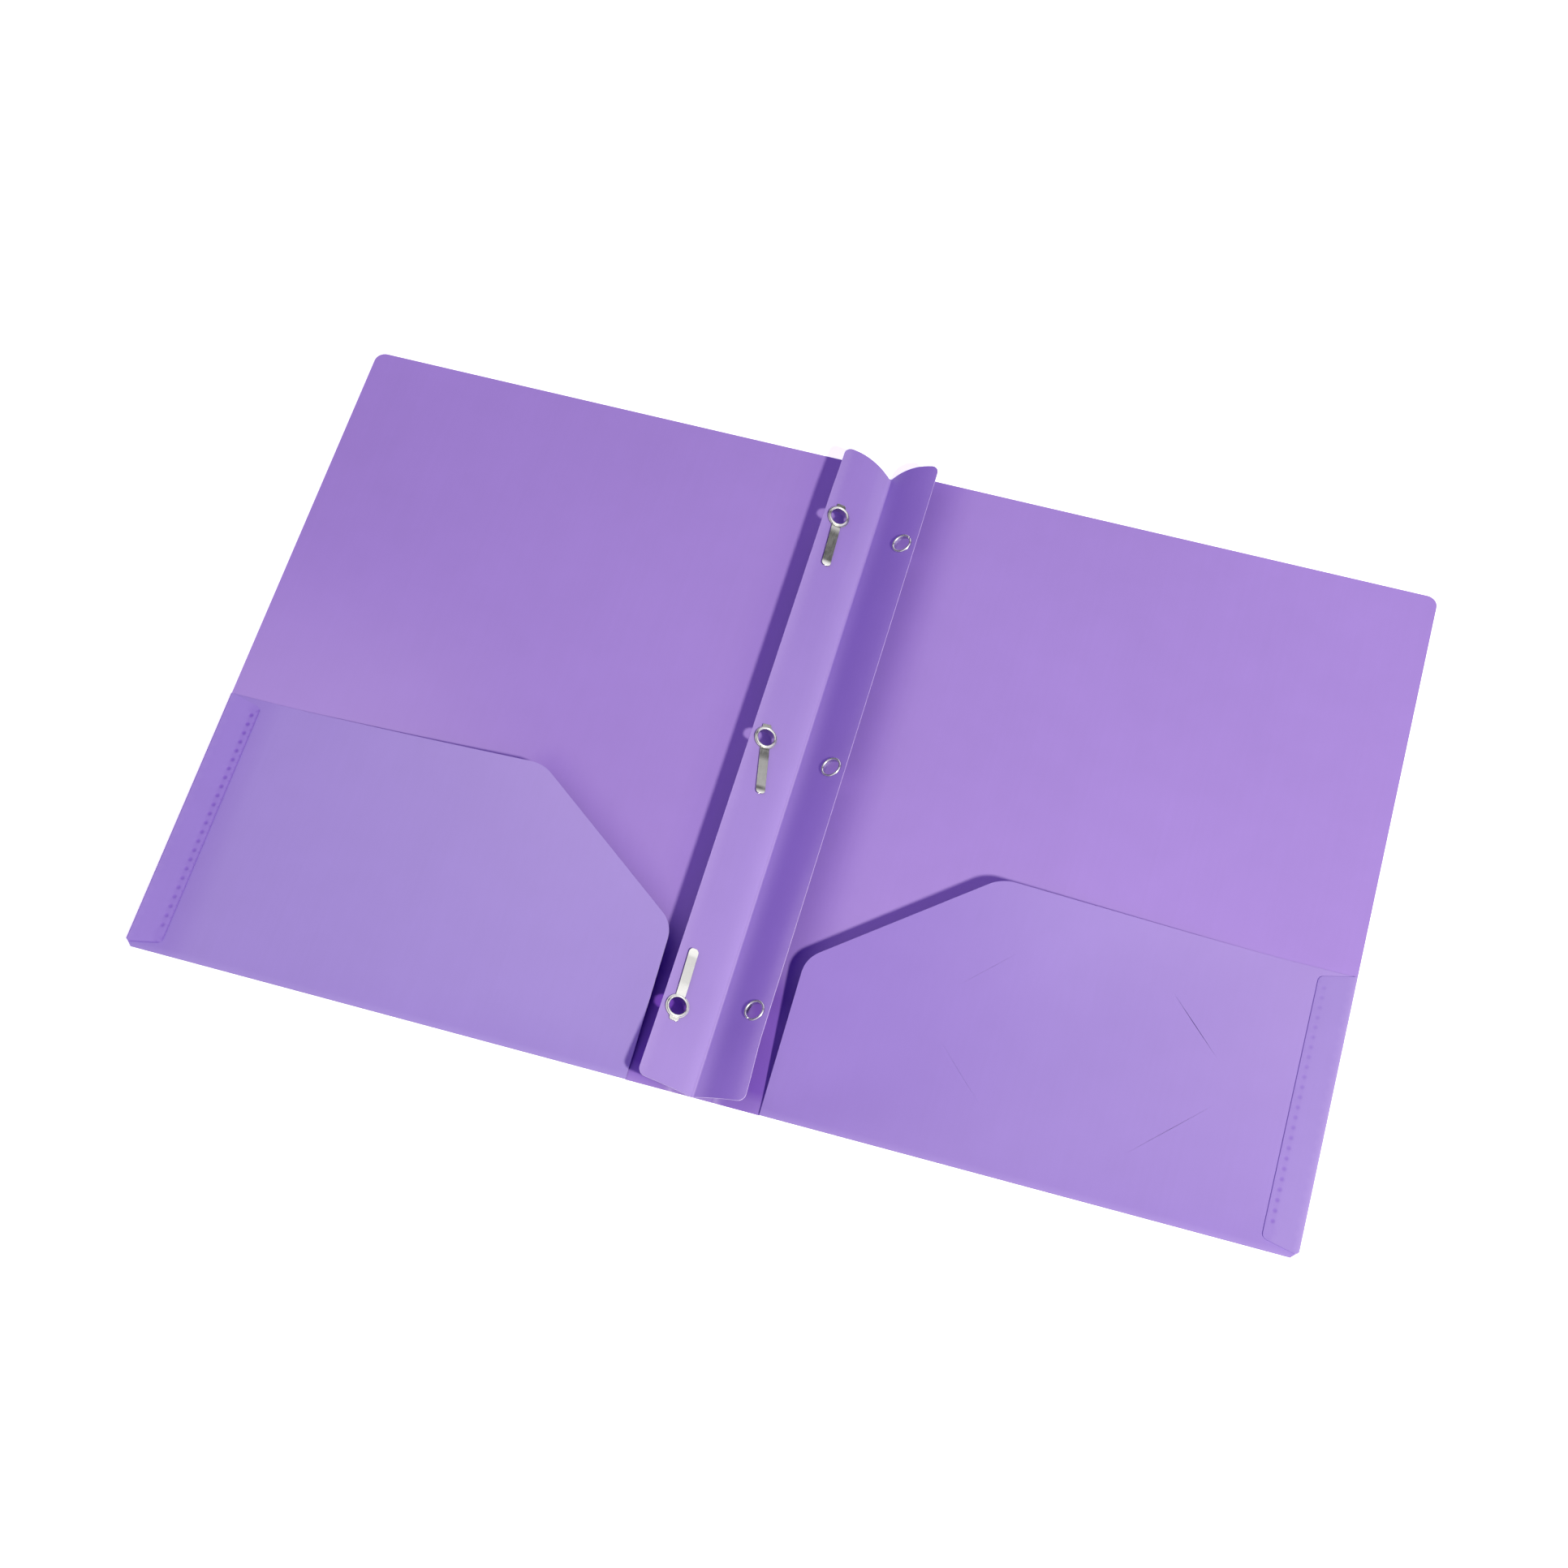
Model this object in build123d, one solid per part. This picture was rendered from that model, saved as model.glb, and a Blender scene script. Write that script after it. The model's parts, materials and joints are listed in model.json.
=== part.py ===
from build123d import *
import math
import os

# A plastic two pocket folder that lies open, inside up, with a three prong fastener strip on its spine.
# X runs across the open folder, Y up the spine and Z away from the table. Millimetres and degrees.

# Body sheet
sheet = 0.45                  # thickness of the plastic, in the body and in the strip
folder_height = 292.0         # along the spine
cover_width = 224.0           # from crease to outer edge
spine_width = 18.0            # from crease to crease
cover_corner_radius = 4.5     # outer top corners of the covers
corner_cut = 3.0              # cut across each outer bottom corner, where two folds meet
crease_groove = 0.15          # scored V along the outside of each crease

# Pockets, folded up from the bottom edge
pocket_height = 116.0         # bottom edge to top edge
pocket_inset = 17.6           # crease to the pocket's inner edge
pocket_gap = 0.3              # slack between cover and pocket at the bottom fold
inner_edge_height = 63.5      # bottom edge to where the slanted mouth starts
slant_run = 64.5              # inner edge to where the slanted mouth meets the top edge
low_corner_radius = 10.0      # rounding between inner edge and slant
high_corner_radius = 16.0     # rounding between slant and top edge
bend_start = 4.0              # height of the bend line's lower end, at the inner edge
bend_end = 42.0               # distance of the bend line's upper end from the outer edge
mouth_lift = 10.0             # angle at which the loose corner springs up

# Side tabs, folded in over the pockets
tab_width = 14.5              # outer edge to free edge
tab_top_drop = 3.5            # pocket's top edge to tab's top edge
tab_foot = 1.4                # bottom edge to the tab's lower end, at the outer edge
tab_taper = 3.0               # rise of the tab's lower end towards its free edge
tab_corner_radius = 2.5
weld_dot_diameter = 1.2       # across the corners of the six-sided dots
weld_dot_depth = 0.2
weld_dot_pitch = 4.2
weld_dot_inset = 2.6          # tab's free edge to the row of dots

# Card holder slits in the back pocket
card_width = 89.0
card_height = 51.0
card_from_outer = 92.0        # outer edge to the card's middle
card_from_bottom = 58.7       # bottom edge to the card's middle
slit_length = 30.0
slit_width = 0.4
slit_corner_leg = 11.0        # length of card corner that tucks under a slit

# Fastener strip
seam_width = 1.0              # welded band between the two flanges
flange_length = 23.1          # hinge line to free edge, along the curve
prong_flange_slope = 38.9     # slope at the hinge line
eyelet_flange_slope = 42.8
flange_droop = 21.3           # how much flatter the free edge lies
flange_corner_radius = 3.0
hole_pitch = 107.95           # spacing of the punched holes in the paper
hole_from_hinge = 16.8        # hinge line to hole centre, along the curve
hole_drop = 1.5               # the middle holes sit this far below the folder's middle

# Eyelets
eyelet_bore = 6.8
eyelet_wall = 0.2
eyelet_rim_diameter = 8.9
eyelet_crown = 0.5            # height of the rolled rim
rim_bevel = 0.3               # run of the slopes on both sides of the rim's crown
rim_clearance = 0.05          # rim or plate to what it sits on
barrel_clearance = 0.1        # barrel to the holes round it

# Prongs
ring_diameter = 9.6
plate_thickness = 0.5
prong_root = 6.0              # ring centre to bend line
prong_length = 18.2           # bend line to tip
prong_width = 3.6
prong_tip_radius = 1.6
prong_tip_step = 0.4          # lift of the tip, for a fingernail
prong_tip_length = 3.6
prong_tip_ramp = 0.6
heel_width = 5.0              # stop tab opposite the prong
heel_end_width = 3.6
heel_length = 5.9             # ring centre to the end of the stop tab
prong_names = ("top", "middle", "bottom")
prong_turns = (2.5, 11.5, 1.5)     # how far each ring plate is turned on its eyelet
prong_headings = (-1, -1, 1)       # the upper two point down the spine, the lowest one up

# Places that follow from the sizes above
crease_x = spine_width / 2
outer_x = crease_x + cover_width
bottom_y = -folder_height / 2
top_y = folder_height / 2
pocket_under = sheet + pocket_gap
pocket_over = pocket_under + sheet
tab_under = pocket_over
tab_over = tab_under + sheet
bottom_fold_radius = pocket_over / 2
side_fold_radius = tab_over / 2
fold_line_y = bottom_y + bottom_fold_radius
fold_line_x = outer_x - side_fold_radius
pocket_inner_x = crease_x + pocket_inset
pocket_outer_x = fold_line_x - rim_clearance
pocket_top_y = bottom_y + pocket_height
tab_inner_x = outer_x - tab_width
tab_top_y = pocket_top_y - tab_top_drop
tab_foot_y = bottom_y + tab_foot
bend_low = Vector(pocket_inner_x, bottom_y + bend_start, pocket_over)
bend_high = Vector(outer_x - bend_end, pocket_top_y, pocket_over)
hinge_x = seam_width / 2
hinge_z = 2 * sheet
flange_radius = flange_length / math.radians(flange_droop)
bore_radius = eyelet_bore / 2
barrel_radius = bore_radius + eyelet_wall
rim_radius = eyelet_rim_diameter / 2
hole_radius = barrel_radius + barrel_clearance
hollow_sag = flange_radius - math.sqrt(flange_radius**2 - rim_radius**2)
plate_top = rim_clearance + plate_thickness


def slab(outline, low, thickness):
    """A sheet with the given plan outline, from low up."""
    return extrude(Pos(0, 0, low) * outline, amount=thickness)


def box_plan(x0, x1, y0, y1):
    """A rectangle in plan, given by its four sides."""
    return Pos((x0 + x1) / 2, (y0 + y1) / 2) * Rectangle(x1 - x0, y1 - y0)


def polygon_plan(*points):
    """A straight-sided outline in plan."""
    return make_face(Polyline(*points, close=True))


def half_ring(plane, outer_radius, length):
    """A sheet folded back on itself: half a tube, open towards the plane's +X."""
    ring = Circle(outer_radius) - Circle(outer_radius - sheet)
    half = ring & (Pos(-outer_radius / 2, 0) * Rectangle(outer_radius, 2 * outer_radius))
    return extrude(plane * half, amount=length)


def corner_prism():
    """What is cut away at an outer bottom corner, through every layer."""
    leg = corner_cut
    corner = polygon_plan((outer_x, bottom_y), (outer_x - leg, bottom_y), (outer_x, bottom_y + leg))
    return slab(corner, 0, tab_over)


def cover():
    """Flat cover, scored along its crease, with room at two edges for the folds."""
    plan = box_plan(crease_x, outer_x, bottom_y, top_y)
    plan = fillet(plan.vertices().group_by(Axis.X)[-1].sort_by(Axis.Y)[-1], cover_corner_radius)
    plan -= box_plan(pocket_inner_x, outer_x, bottom_y, fold_line_y)
    plan -= box_plan(fold_line_x, outer_x, tab_foot_y, tab_top_y)
    plate = slab(plan, 0, sheet)
    score = plate.edges().filter_by(Axis.Y).group_by(Axis.X)[0].sort_by(Axis.Z)[0]
    return chamfer(score, crease_groove) - corner_prism()


def spine():
    """Flat spine between the two creases, scored along both."""
    plate = slab(box_plan(-crease_x, crease_x, bottom_y, top_y), 0, sheet)
    scores = plate.edges().filter_by(Axis.Y).group_by(Axis.Z)[0]
    return chamfer(scores, crease_groove)


def card_slits():
    """Four slits, one across each corner of a card."""
    middle = Pos(outer_x - card_from_outer, bottom_y + card_from_bottom)
    reach_x = card_width / 2 - slit_corner_leg / 2
    reach_y = card_height / 2 - slit_corner_leg / 2
    slits = Sketch()
    for side in (-1, 1):
        for end in (-1, 1):
            slot = SlotOverall(slit_length, slit_width, rotation=-45 * side * end)
            slits += middle * Pos(side * reach_x, end * reach_y) * slot
    return slab(slits, pocket_under - sheet, 3 * sheet)


def pocket_panel():
    """The part of a pocket that lies on the cover, with the bottom fold that joins it on."""
    plan = polygon_plan(
        (bend_low.X, bend_low.Y),
        (bend_high.X, bend_high.Y),
        (pocket_outer_x, pocket_top_y),
        (pocket_outer_x, fold_line_y),
        (pocket_inner_x, fold_line_y),
    )
    fold = Plane(origin=(pocket_inner_x, fold_line_y, bottom_fold_radius), x_dir=(0, 1, 0), z_dir=(1, 0, 0))
    panel = slab(plan, pocket_under, sheet)
    panel += half_ring(fold, bottom_fold_radius, outer_x - pocket_inner_x)
    return panel - corner_prism()


def pocket_mouth_flat():
    """The loose corner of a pocket, as cut: inner edge, slanted mouth and top edge."""
    inner = (pocket_inner_x, bottom_y + inner_edge_height)
    upper = (pocket_inner_x + slant_run, pocket_top_y)
    plan = polygon_plan((bend_low.X, bend_low.Y), (bend_high.X, bend_high.Y), upper, inner)
    low_corner = plan.vertices().sort_by_distance((*inner, 0))[0]
    plan = fillet(low_corner, low_corner_radius)
    high_corner = plan.vertices().sort_by_distance((*upper, 0))[0]
    plan = fillet(high_corner, high_corner_radius)
    return slab(plan, pocket_under, sheet)


def sprung_up(mouth):
    """Turns a flat mouth up about the bend line on the pocket's upper face."""
    return mouth.rotate(Axis(bend_low, bend_high - bend_low), mouth_lift)


def side_tab():
    """Tab folded in from the outer edge over the pocket, with its row of weld dots."""
    plan = polygon_plan(
        (fold_line_x, tab_foot_y),
        (fold_line_x, tab_top_y),
        (tab_inner_x, tab_top_y),
        (tab_inner_x, tab_foot_y + tab_taper),
    )
    plan = fillet(plan.vertices().group_by(Axis.X)[0], tab_corner_radius)
    fold = Plane(origin=(fold_line_x, tab_top_y, side_fold_radius), x_dir=(-1, 0, 0), z_dir=(0, -1, 0))
    tab = slab(plan, tab_under, sheet)
    tab += half_ring(fold, side_fold_radius, tab_top_y - tab_foot_y)
    first = tab_top_y - weld_dot_pitch
    count = int((first - tab_foot_y - tab_taper) / weld_dot_pitch)
    dot = RegularPolygon(weld_dot_diameter / 2, 6)
    dots = Sketch()
    for number in range(count):
        dots += Pos(tab_inner_x + weld_dot_inset, first - number * weld_dot_pitch) * dot
    return tab - slab(dots, tab_over - weld_dot_depth, weld_dot_depth) - corner_prism()


def strip_seam():
    """Narrow band of the fastener strip that is welded to the spine."""
    return slab(box_plan(-hinge_x, hinge_x, bottom_y, top_y), sheet, sheet)


def flange_place(slope, along):
    """X, Z and slope of a right-hand flange's upper face at a distance along the curve."""
    start = math.radians(slope)
    here = start - along / flange_radius
    x = hinge_x + flange_radius * (math.sin(start) - math.sin(here))
    z = hinge_z + flange_radius * (math.cos(here) - math.cos(start))
    return x, z, math.degrees(here)


def seat_plane(slope, y, side, heading):
    """Plane on a flange's upper face at a hole: Z is the face's normal, X runs along the spine."""
    x, z, angle = flange_place(slope, hole_from_hinge)
    lean = math.radians(angle)
    normal = (-side * math.sin(lean), 0, math.cos(lean))
    return Plane(origin=(side * x, y, z), x_dir=(0, heading, 0), z_dir=normal)


def flange(slope, hole_ys):
    """Right-hand wing of the strip: a curved sheet with rounded free corners and three holes."""
    places = [flange_place(slope, share * flange_length) for share in (0, 0.5, 1)]
    upper = [(x, z) for x, z, _ in places]
    lower = []
    for x, z, angle in places:
        lean = math.radians(angle)
        lower.append((x + sheet * math.sin(lean), z - sheet * math.cos(lean)))
    edge = [
        ThreePointArc(*upper),
        Line(upper[2], lower[2]),
        ThreePointArc(*reversed(lower)),
        Line(lower[0], upper[0]),
    ]
    wing = extrude(Plane.XZ * make_face(edge), amount=folder_height / 2, both=True)
    free_face = wing.faces().filter_by(GeomType.PLANE).sort_by(Axis.X)[-1]
    corners = free_face.edges().sort_by(Axis.Y)
    wing = fillet([corners[0], corners[-1]], flange_corner_radius)
    for y in hole_ys:
        seat = seat_plane(slope, y, 1, 1)
        wing -= seat * Cylinder(hole_radius, 2 * hole_radius)
    return wing


def eyelet(upper_seat):
    """Hollow eyelet with a rolled rim on both sides, along Z."""
    lower_seat = -sheet - hollow_sag - rim_clearance
    crown_top = upper_seat + eyelet_crown
    crown_bottom = lower_seat - eyelet_crown
    outline = polygon_plan(
        (bore_radius, lower_seat),
        (bore_radius, upper_seat),
        (bore_radius + rim_bevel, crown_top),
        (rim_radius - rim_bevel, crown_top),
        (rim_radius, upper_seat),
        (barrel_radius, upper_seat),
        (barrel_radius, lower_seat),
        (rim_radius, lower_seat),
        (rim_radius - rim_bevel, crown_bottom),
        (bore_radius + rim_bevel, crown_bottom),
    )
    return revolve(Plane.XZ * outline, Axis.Z)


def prong_base():
    """Ring plate: a ring, the neck towards the prong and the stop tab on the other side."""
    plan = Circle(ring_diameter / 2)
    plan += box_plan(0, prong_root, -prong_width / 2, prong_width / 2)
    plan += polygon_plan(
        (0, -heel_width / 2),
        (0, heel_width / 2),
        (-heel_length, heel_end_width / 2),
        (-heel_length, -heel_end_width / 2),
    )
    plan -= Circle(hole_radius)
    return slab(plan, rim_clearance, plate_thickness)


def prong_tang():
    """Bendable tongue with a rounded, slightly lifted tip."""
    tip = prong_root + prong_length
    step = tip - prong_tip_length
    low = rim_clearance
    high = plate_top
    side = polygon_plan(
        (prong_root, low),
        (step, low),
        (step + prong_tip_ramp, low + prong_tip_step),
        (tip, low + prong_tip_step),
        (tip, high + prong_tip_step),
        (step + prong_tip_ramp, high + prong_tip_step),
        (step, high),
        (prong_root, high),
    )
    tongue = extrude(Plane.XZ * side, amount=prong_width / 2, both=True)
    ends = tongue.edges().filter_by(Axis.Z).group_by(Axis.X)[-1]
    return fillet(ends, prong_tip_radius)


def save(name, shape):
    """Writes one piece under its name."""
    solids = shape.solids()
    export_step(solids[0] if len(solids) == 1 else Compound(children=solids), f"parts/{name}.step")


def left(shape):
    """The same piece on the other half of the folder."""
    return mirror(shape, about=Plane.YZ)


os.makedirs("parts", exist_ok=True)

# The folded body
right_cover = cover()
right_pocket = pocket_panel()
right_tab = side_tab()
mouth = pocket_mouth_flat()
save("spine", spine())
save("front_cover", left(right_cover))
save("back_cover", right_cover)
save("front_pocket_panel", left(right_pocket))
save("back_pocket_panel", right_pocket - card_slits())
save("front_pocket_mouth", left(sprung_up(mouth)))
save("back_pocket_mouth", sprung_up(mouth - card_slits()))
save("front_side_tab", left(right_tab))
save("back_side_tab", right_tab)

# The fastener strip; each ring sits beyond its bend line, so that an upright prong faces its eyelet
eyelet_ys = [row * hole_pitch - hole_drop for row in (1, 0, -1)]
ring_ys = [y - heading * prong_root for y, heading in zip(eyelet_ys, prong_headings)]
save("strip_seam", strip_seam())
save("prong_flange", left(flange(prong_flange_slope, ring_ys)))
save("eyelet_flange", flange(eyelet_flange_slope, eyelet_ys))

# The steel fasteners
for name, ring_y, eyelet_y, turn, heading in zip(prong_names, ring_ys, eyelet_ys, prong_turns, prong_headings):
    seat = seat_plane(prong_flange_slope, ring_y, -1, heading)
    save(f"prong_eyelet_{name}", seat * eyelet(plate_top + rim_clearance))
    save(f"prong_base_{name}", seat * (Rot(0, 0, turn) * prong_base()))
    save(f"prong_tang_{name}", seat * (Rot(0, 0, turn) * prong_tang()))
    opposite = seat_plane(eyelet_flange_slope, eyelet_y, 1, 1)
    save(f"receiving_eyelet_{name}", opposite * eyelet(rim_clearance))
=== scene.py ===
"""Looks of a plastic two pocket folder that lies open, with a three prong strip on its spine.

Shapes are worked out in millimetres, in the frame's axes, and go into the meshes in metres. A sheet of a pair
is worked out on the right-hand side with its own values, and X is mirrored for the left-hand one.
"""

from __future__ import annotations

import json
import logging
import math
from dataclasses import dataclass, field, replace
from enum import Enum
from typing import Any, Callable, Sequence

import bpy
import numpy as np
from mathutils import Matrix, Vector, geometry

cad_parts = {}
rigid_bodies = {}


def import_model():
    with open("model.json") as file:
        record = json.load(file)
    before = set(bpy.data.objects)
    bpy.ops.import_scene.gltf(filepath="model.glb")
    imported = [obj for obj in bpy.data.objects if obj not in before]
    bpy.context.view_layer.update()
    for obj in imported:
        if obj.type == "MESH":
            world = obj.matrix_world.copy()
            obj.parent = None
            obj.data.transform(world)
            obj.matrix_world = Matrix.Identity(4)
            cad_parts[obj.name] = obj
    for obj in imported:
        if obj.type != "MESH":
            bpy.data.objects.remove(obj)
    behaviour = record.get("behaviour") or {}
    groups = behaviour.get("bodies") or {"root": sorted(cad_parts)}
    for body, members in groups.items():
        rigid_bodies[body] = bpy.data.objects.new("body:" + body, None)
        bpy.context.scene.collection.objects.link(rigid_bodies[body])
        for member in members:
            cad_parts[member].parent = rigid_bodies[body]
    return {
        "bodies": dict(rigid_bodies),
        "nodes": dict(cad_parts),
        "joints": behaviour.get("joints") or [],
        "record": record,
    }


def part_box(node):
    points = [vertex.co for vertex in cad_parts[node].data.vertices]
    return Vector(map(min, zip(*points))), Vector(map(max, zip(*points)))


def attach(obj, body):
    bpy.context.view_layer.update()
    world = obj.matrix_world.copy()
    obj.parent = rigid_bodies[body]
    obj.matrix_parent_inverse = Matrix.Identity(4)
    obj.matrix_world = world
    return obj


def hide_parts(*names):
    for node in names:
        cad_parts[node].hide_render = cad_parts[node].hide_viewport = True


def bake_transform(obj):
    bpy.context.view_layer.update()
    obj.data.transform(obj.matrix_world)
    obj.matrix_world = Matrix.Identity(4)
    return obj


log = logging.getLogger("folder")
MM = 0.001
SAME_POINT = 1e-6
NET_TOLERANCE = 1e-7
SLOPE_STEP = 1e-3
NOISE_MEAN = 0.5
WING_RIM_SHARE = 0.75
Array = np.ndarray
Colour = tuple[float, float, float]
OverSheet = Callable[[Array, Array], Array]


class Side(Enum):
    """The two halves of the open folder."""

    FRONT = -1
    BACK = 1

    @property
    def label(self) -> str:
        """Name of this half, as its nodes and bodies use it."""
        return self.name.lower()


class Slot(Enum):
    """The record's material slots."""

    SHEET = "purple_sheet"
    STEEL = "fastener_steel"


def per_side(front: Any, back: Any) -> Any:
    """Dataclass field that holds one value for each half of the folder."""
    return field(default_factory=lambda: {Side.FRONT: front, Side.BACK: back})


def from_screen(red: int, green: int, blue: int) -> Colour:
    """Linear colour of a screen colour, by the screen's standard transfer curve.

    Args:
        red: Red, 0 to 255.
        green: Green, 0 to 255.
        blue: Blue, 0 to 255.

    Returns:
        The three linear shares.
    """
    share = np.array([red, green, blue]) / 255
    linear = np.where(share <= 0.04045, share / 12.92, ((share + 0.055) / 1.055) ** 2.4)
    return tuple(linear.tolist())


class Wire:
    """A shader socket that takes part in plain arithmetic; each operation adds one Math node."""

    def __init__(self, graph: Graph, socket: bpy.types.NodeSocket) -> None:
        """Keeps the socket and the graph that it belongs to."""
        self.graph = graph
        self.socket = socket

    def maths(self, operation: str, *values: Any) -> Wire:
        """One Math node on the given values."""
        return self.graph.node("Math", {"operation": operation}, dict(enumerate(values)))

    def __add__(self, other: Any) -> Wire:
        """Sum."""
        return self.maths("ADD", self, other)

    __radd__ = __add__

    def __sub__(self, other: Any) -> Wire:
        """Difference."""
        return self.maths("SUBTRACT", self, other)

    def __rsub__(self, other: Any) -> Wire:
        """Difference, with this socket taken away."""
        return self.maths("SUBTRACT", other, self)

    def __mul__(self, other: Any) -> Wire:
        """Product."""
        return self.maths("MULTIPLY", self, other)

    __rmul__ = __mul__

    def clamped(self) -> Wire:
        """The value kept between 0 and 1."""
        return self.maths("MINIMUM", self.maths("MAXIMUM", self, 0.0), 1.0)


class Graph:
    """The shader nodes of one material or of the world."""

    def __init__(self, tree: bpy.types.NodeTree) -> None:
        """Starts from an empty tree."""
        self.tree = tree
        tree.nodes.clear()

    def node(
        self,
        kind: str,
        settings: dict[str, Any] | None = None,
        sockets: dict[int | str, Any] | None = None,
        output: int | str = 0,
    ) -> Wire | None:
        """Adds any node.

        Args:
            kind: The node's type, without its ShaderNode prefix.
            settings: Properties of the node, which are set first.
            sockets: Values or wires for its inputs, by number or name.
            output: Which output to hand on.

        Returns:
            The wire of that output, or None where the node has no outputs.
        """
        made = self.tree.nodes.new("ShaderNode" + kind)
        for name, value in (settings or {}).items():
            setattr(made, name, value)
        for name, value in (sockets or {}).items():
            if isinstance(value, Wire):
                self.tree.links.new(value.socket, made.inputs[name])
            else:
                made.inputs[name].default_value = value
        return Wire(self, made.outputs[output]) if made.outputs else None

    def noise(self, place: Wire, size: float, detail: float = 2.0) -> Wire:
        """Soft noise from 0 to 1 whose lumps are about size millimetres across."""
        return self.node("TexNoise", None, {"Vector": place, "Scale": 1 / (size * MM), "Detail": detail})

    def stretched(self, place: Wire, scale: tuple[float, float, float]) -> Wire:
        """The coordinates times a scale per axis, which draws a pattern out along the smallest."""
        return self.node("Mapping", {"vector_type": "POINT"}, {"Vector": place, "Scale": scale})

    def mixed(self, share: Any, first: Any, second: Any) -> Wire:
        """A colour between two colours."""
        colours = [c if isinstance(c, Wire) else (*c, 1.0) for c in (first, second)]
        return self.node("Mix", {"data_type": "RGBA"}, {0: share, 6: colours[0], 7: colours[1]}, 2)

    def attribute(self, name: str) -> Wire:
        """A number that the mesh carries."""
        return self.node("Attribute", {"attribute_name": name}, None, "Fac")

    def coordinates(self, kind: str) -> Wire:
        """Texture coordinates of the named kind."""
        return self.node("TexCoord", None, None, kind)

    def ray(self, kind: str) -> Wire:
        """1 where the ray is of the named kind, and 0 elsewhere."""
        return self.node("LightPath", None, None, f"Is {kind} Ray")

    def relief(self, height: Wire, distance: float, strength: float) -> Wire:
        """Bumped normal of a height, whose whole range stands for distance millimetres."""
        return self.node("Bump", None, {"Strength": strength, "Distance": distance * MM, "Height": height})

    def surface(self, sockets: dict[str, Any]) -> None:
        """Ends the graph with a Principled shader that has these inputs."""
        self.node("OutputMaterial", None, {"Surface": self.node("BsdfPrincipled", None, sockets)})


def empty_material(name: str) -> tuple[bpy.types.Material, Graph]:
    """Makes a material that has no nodes yet.

    Args:
        name: The material's name.

    Returns:
        The material, and the graph that takes its nodes.
    """
    made = bpy.data.materials.new(name)
    made.use_nodes = True
    return made, Graph(made.node_tree)


def put_in_scene(name: str, data: bpy.types.ID) -> bpy.types.Object:
    """Makes an object and links it to the scene.

    Args:
        name: The object's name.
        data: Its mesh, lamp or camera.

    Returns:
        The object, at the origin.
    """
    made = bpy.data.objects.new(name, data)
    bpy.context.scene.collection.objects.link(made)
    return made


@dataclass(frozen=True)
class SheetFinish:
    """Matte extruded plastic sheet: cloudy tone, fine sand grain, pale cut edges, pressed lines, painted
    light and shade.
    """

    name: str
    tone: Colour
    rim_share: float = 0.4
    press_share: float = 0.4
    # The pale tone is for cut edges, fold whitening and painted light; the sunk tone is for weld dots and
    # painted shade
    pale_tone: Colour = from_screen(206, 182, 243)
    sunk_tone: Colour = (0.13, 0.02, 0.48)
    cloud_depth: float = 0.1
    cloud_size: float = 90.0
    cloud_share: float = 0.5
    haze_size: float = 14.0
    haze_share: float = 0.25
    haze_roughness: float = 0.1
    streak_size: float = 1.6
    streak_scale: tuple[float, float, float] = (1.0, 0.02, 1.0)
    streak_share: float = 0.15
    streak_height: float = 0.3
    grain_size: float = 0.34
    grain_share: float = 0.1
    grain_roughness: float = 0.12
    grain_height: float = 0.012
    fine_detail: float = 3.0
    relief_strength: float = 0.5
    roughness: float = 0.46
    specular: float = 0.3

    def material(self) -> bpy.types.Material:
        """Builds the material: tone from clouds, haze and draw lines, pale or deep by the mesh's tags, which
        hold painted light and shade too.

        Returns:
            The material, whose relief comes from the grain and the draw lines.
        """
        made, graph = empty_material(self.name)
        place = graph.coordinates("Object")
        cloud = graph.noise(place, self.cloud_size)
        haze = graph.noise(place, self.haze_size, self.fine_detail)
        grain = graph.noise(place, self.grain_size, self.fine_detail)
        streak = graph.noise(graph.stretched(place, self.streak_scale), self.streak_size)
        depth = cloud * self.cloud_share + haze * self.haze_share
        depth = (depth + streak * self.streak_share + grain * self.grain_share).clamped()
        deep = tuple(share * (1 - self.cloud_depth) for share in self.tone)
        light = tuple(share * (1 + self.cloud_depth) for share in self.tone)
        tone = graph.mixed(depth, deep, light)
        # The tag is positive for fold whitening and painted light, and negative for weld dots and painted
        # shade
        press = graph.attribute("press")
        whitening_and_light_share = (graph.attribute("rim") * self.rim_share + press * self.press_share).clamped()
        pale = graph.mixed(whitening_and_light_share, tone, self.pale_tone)
        rough = self.roughness + (haze - NOISE_MEAN) * self.haze_roughness
        height = grain + streak * self.streak_height
        graph.surface(
            {
                "Base Color": graph.mixed((0.0 - press).clamped(), pale, self.sunk_tone),
                "Roughness": rough + (grain - NOISE_MEAN) * self.grain_roughness,
                "Normal": graph.relief(height, self.grain_height, self.relief_strength),
                "Specular IOR Level": self.specular,
            }
        )
        return made


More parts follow.
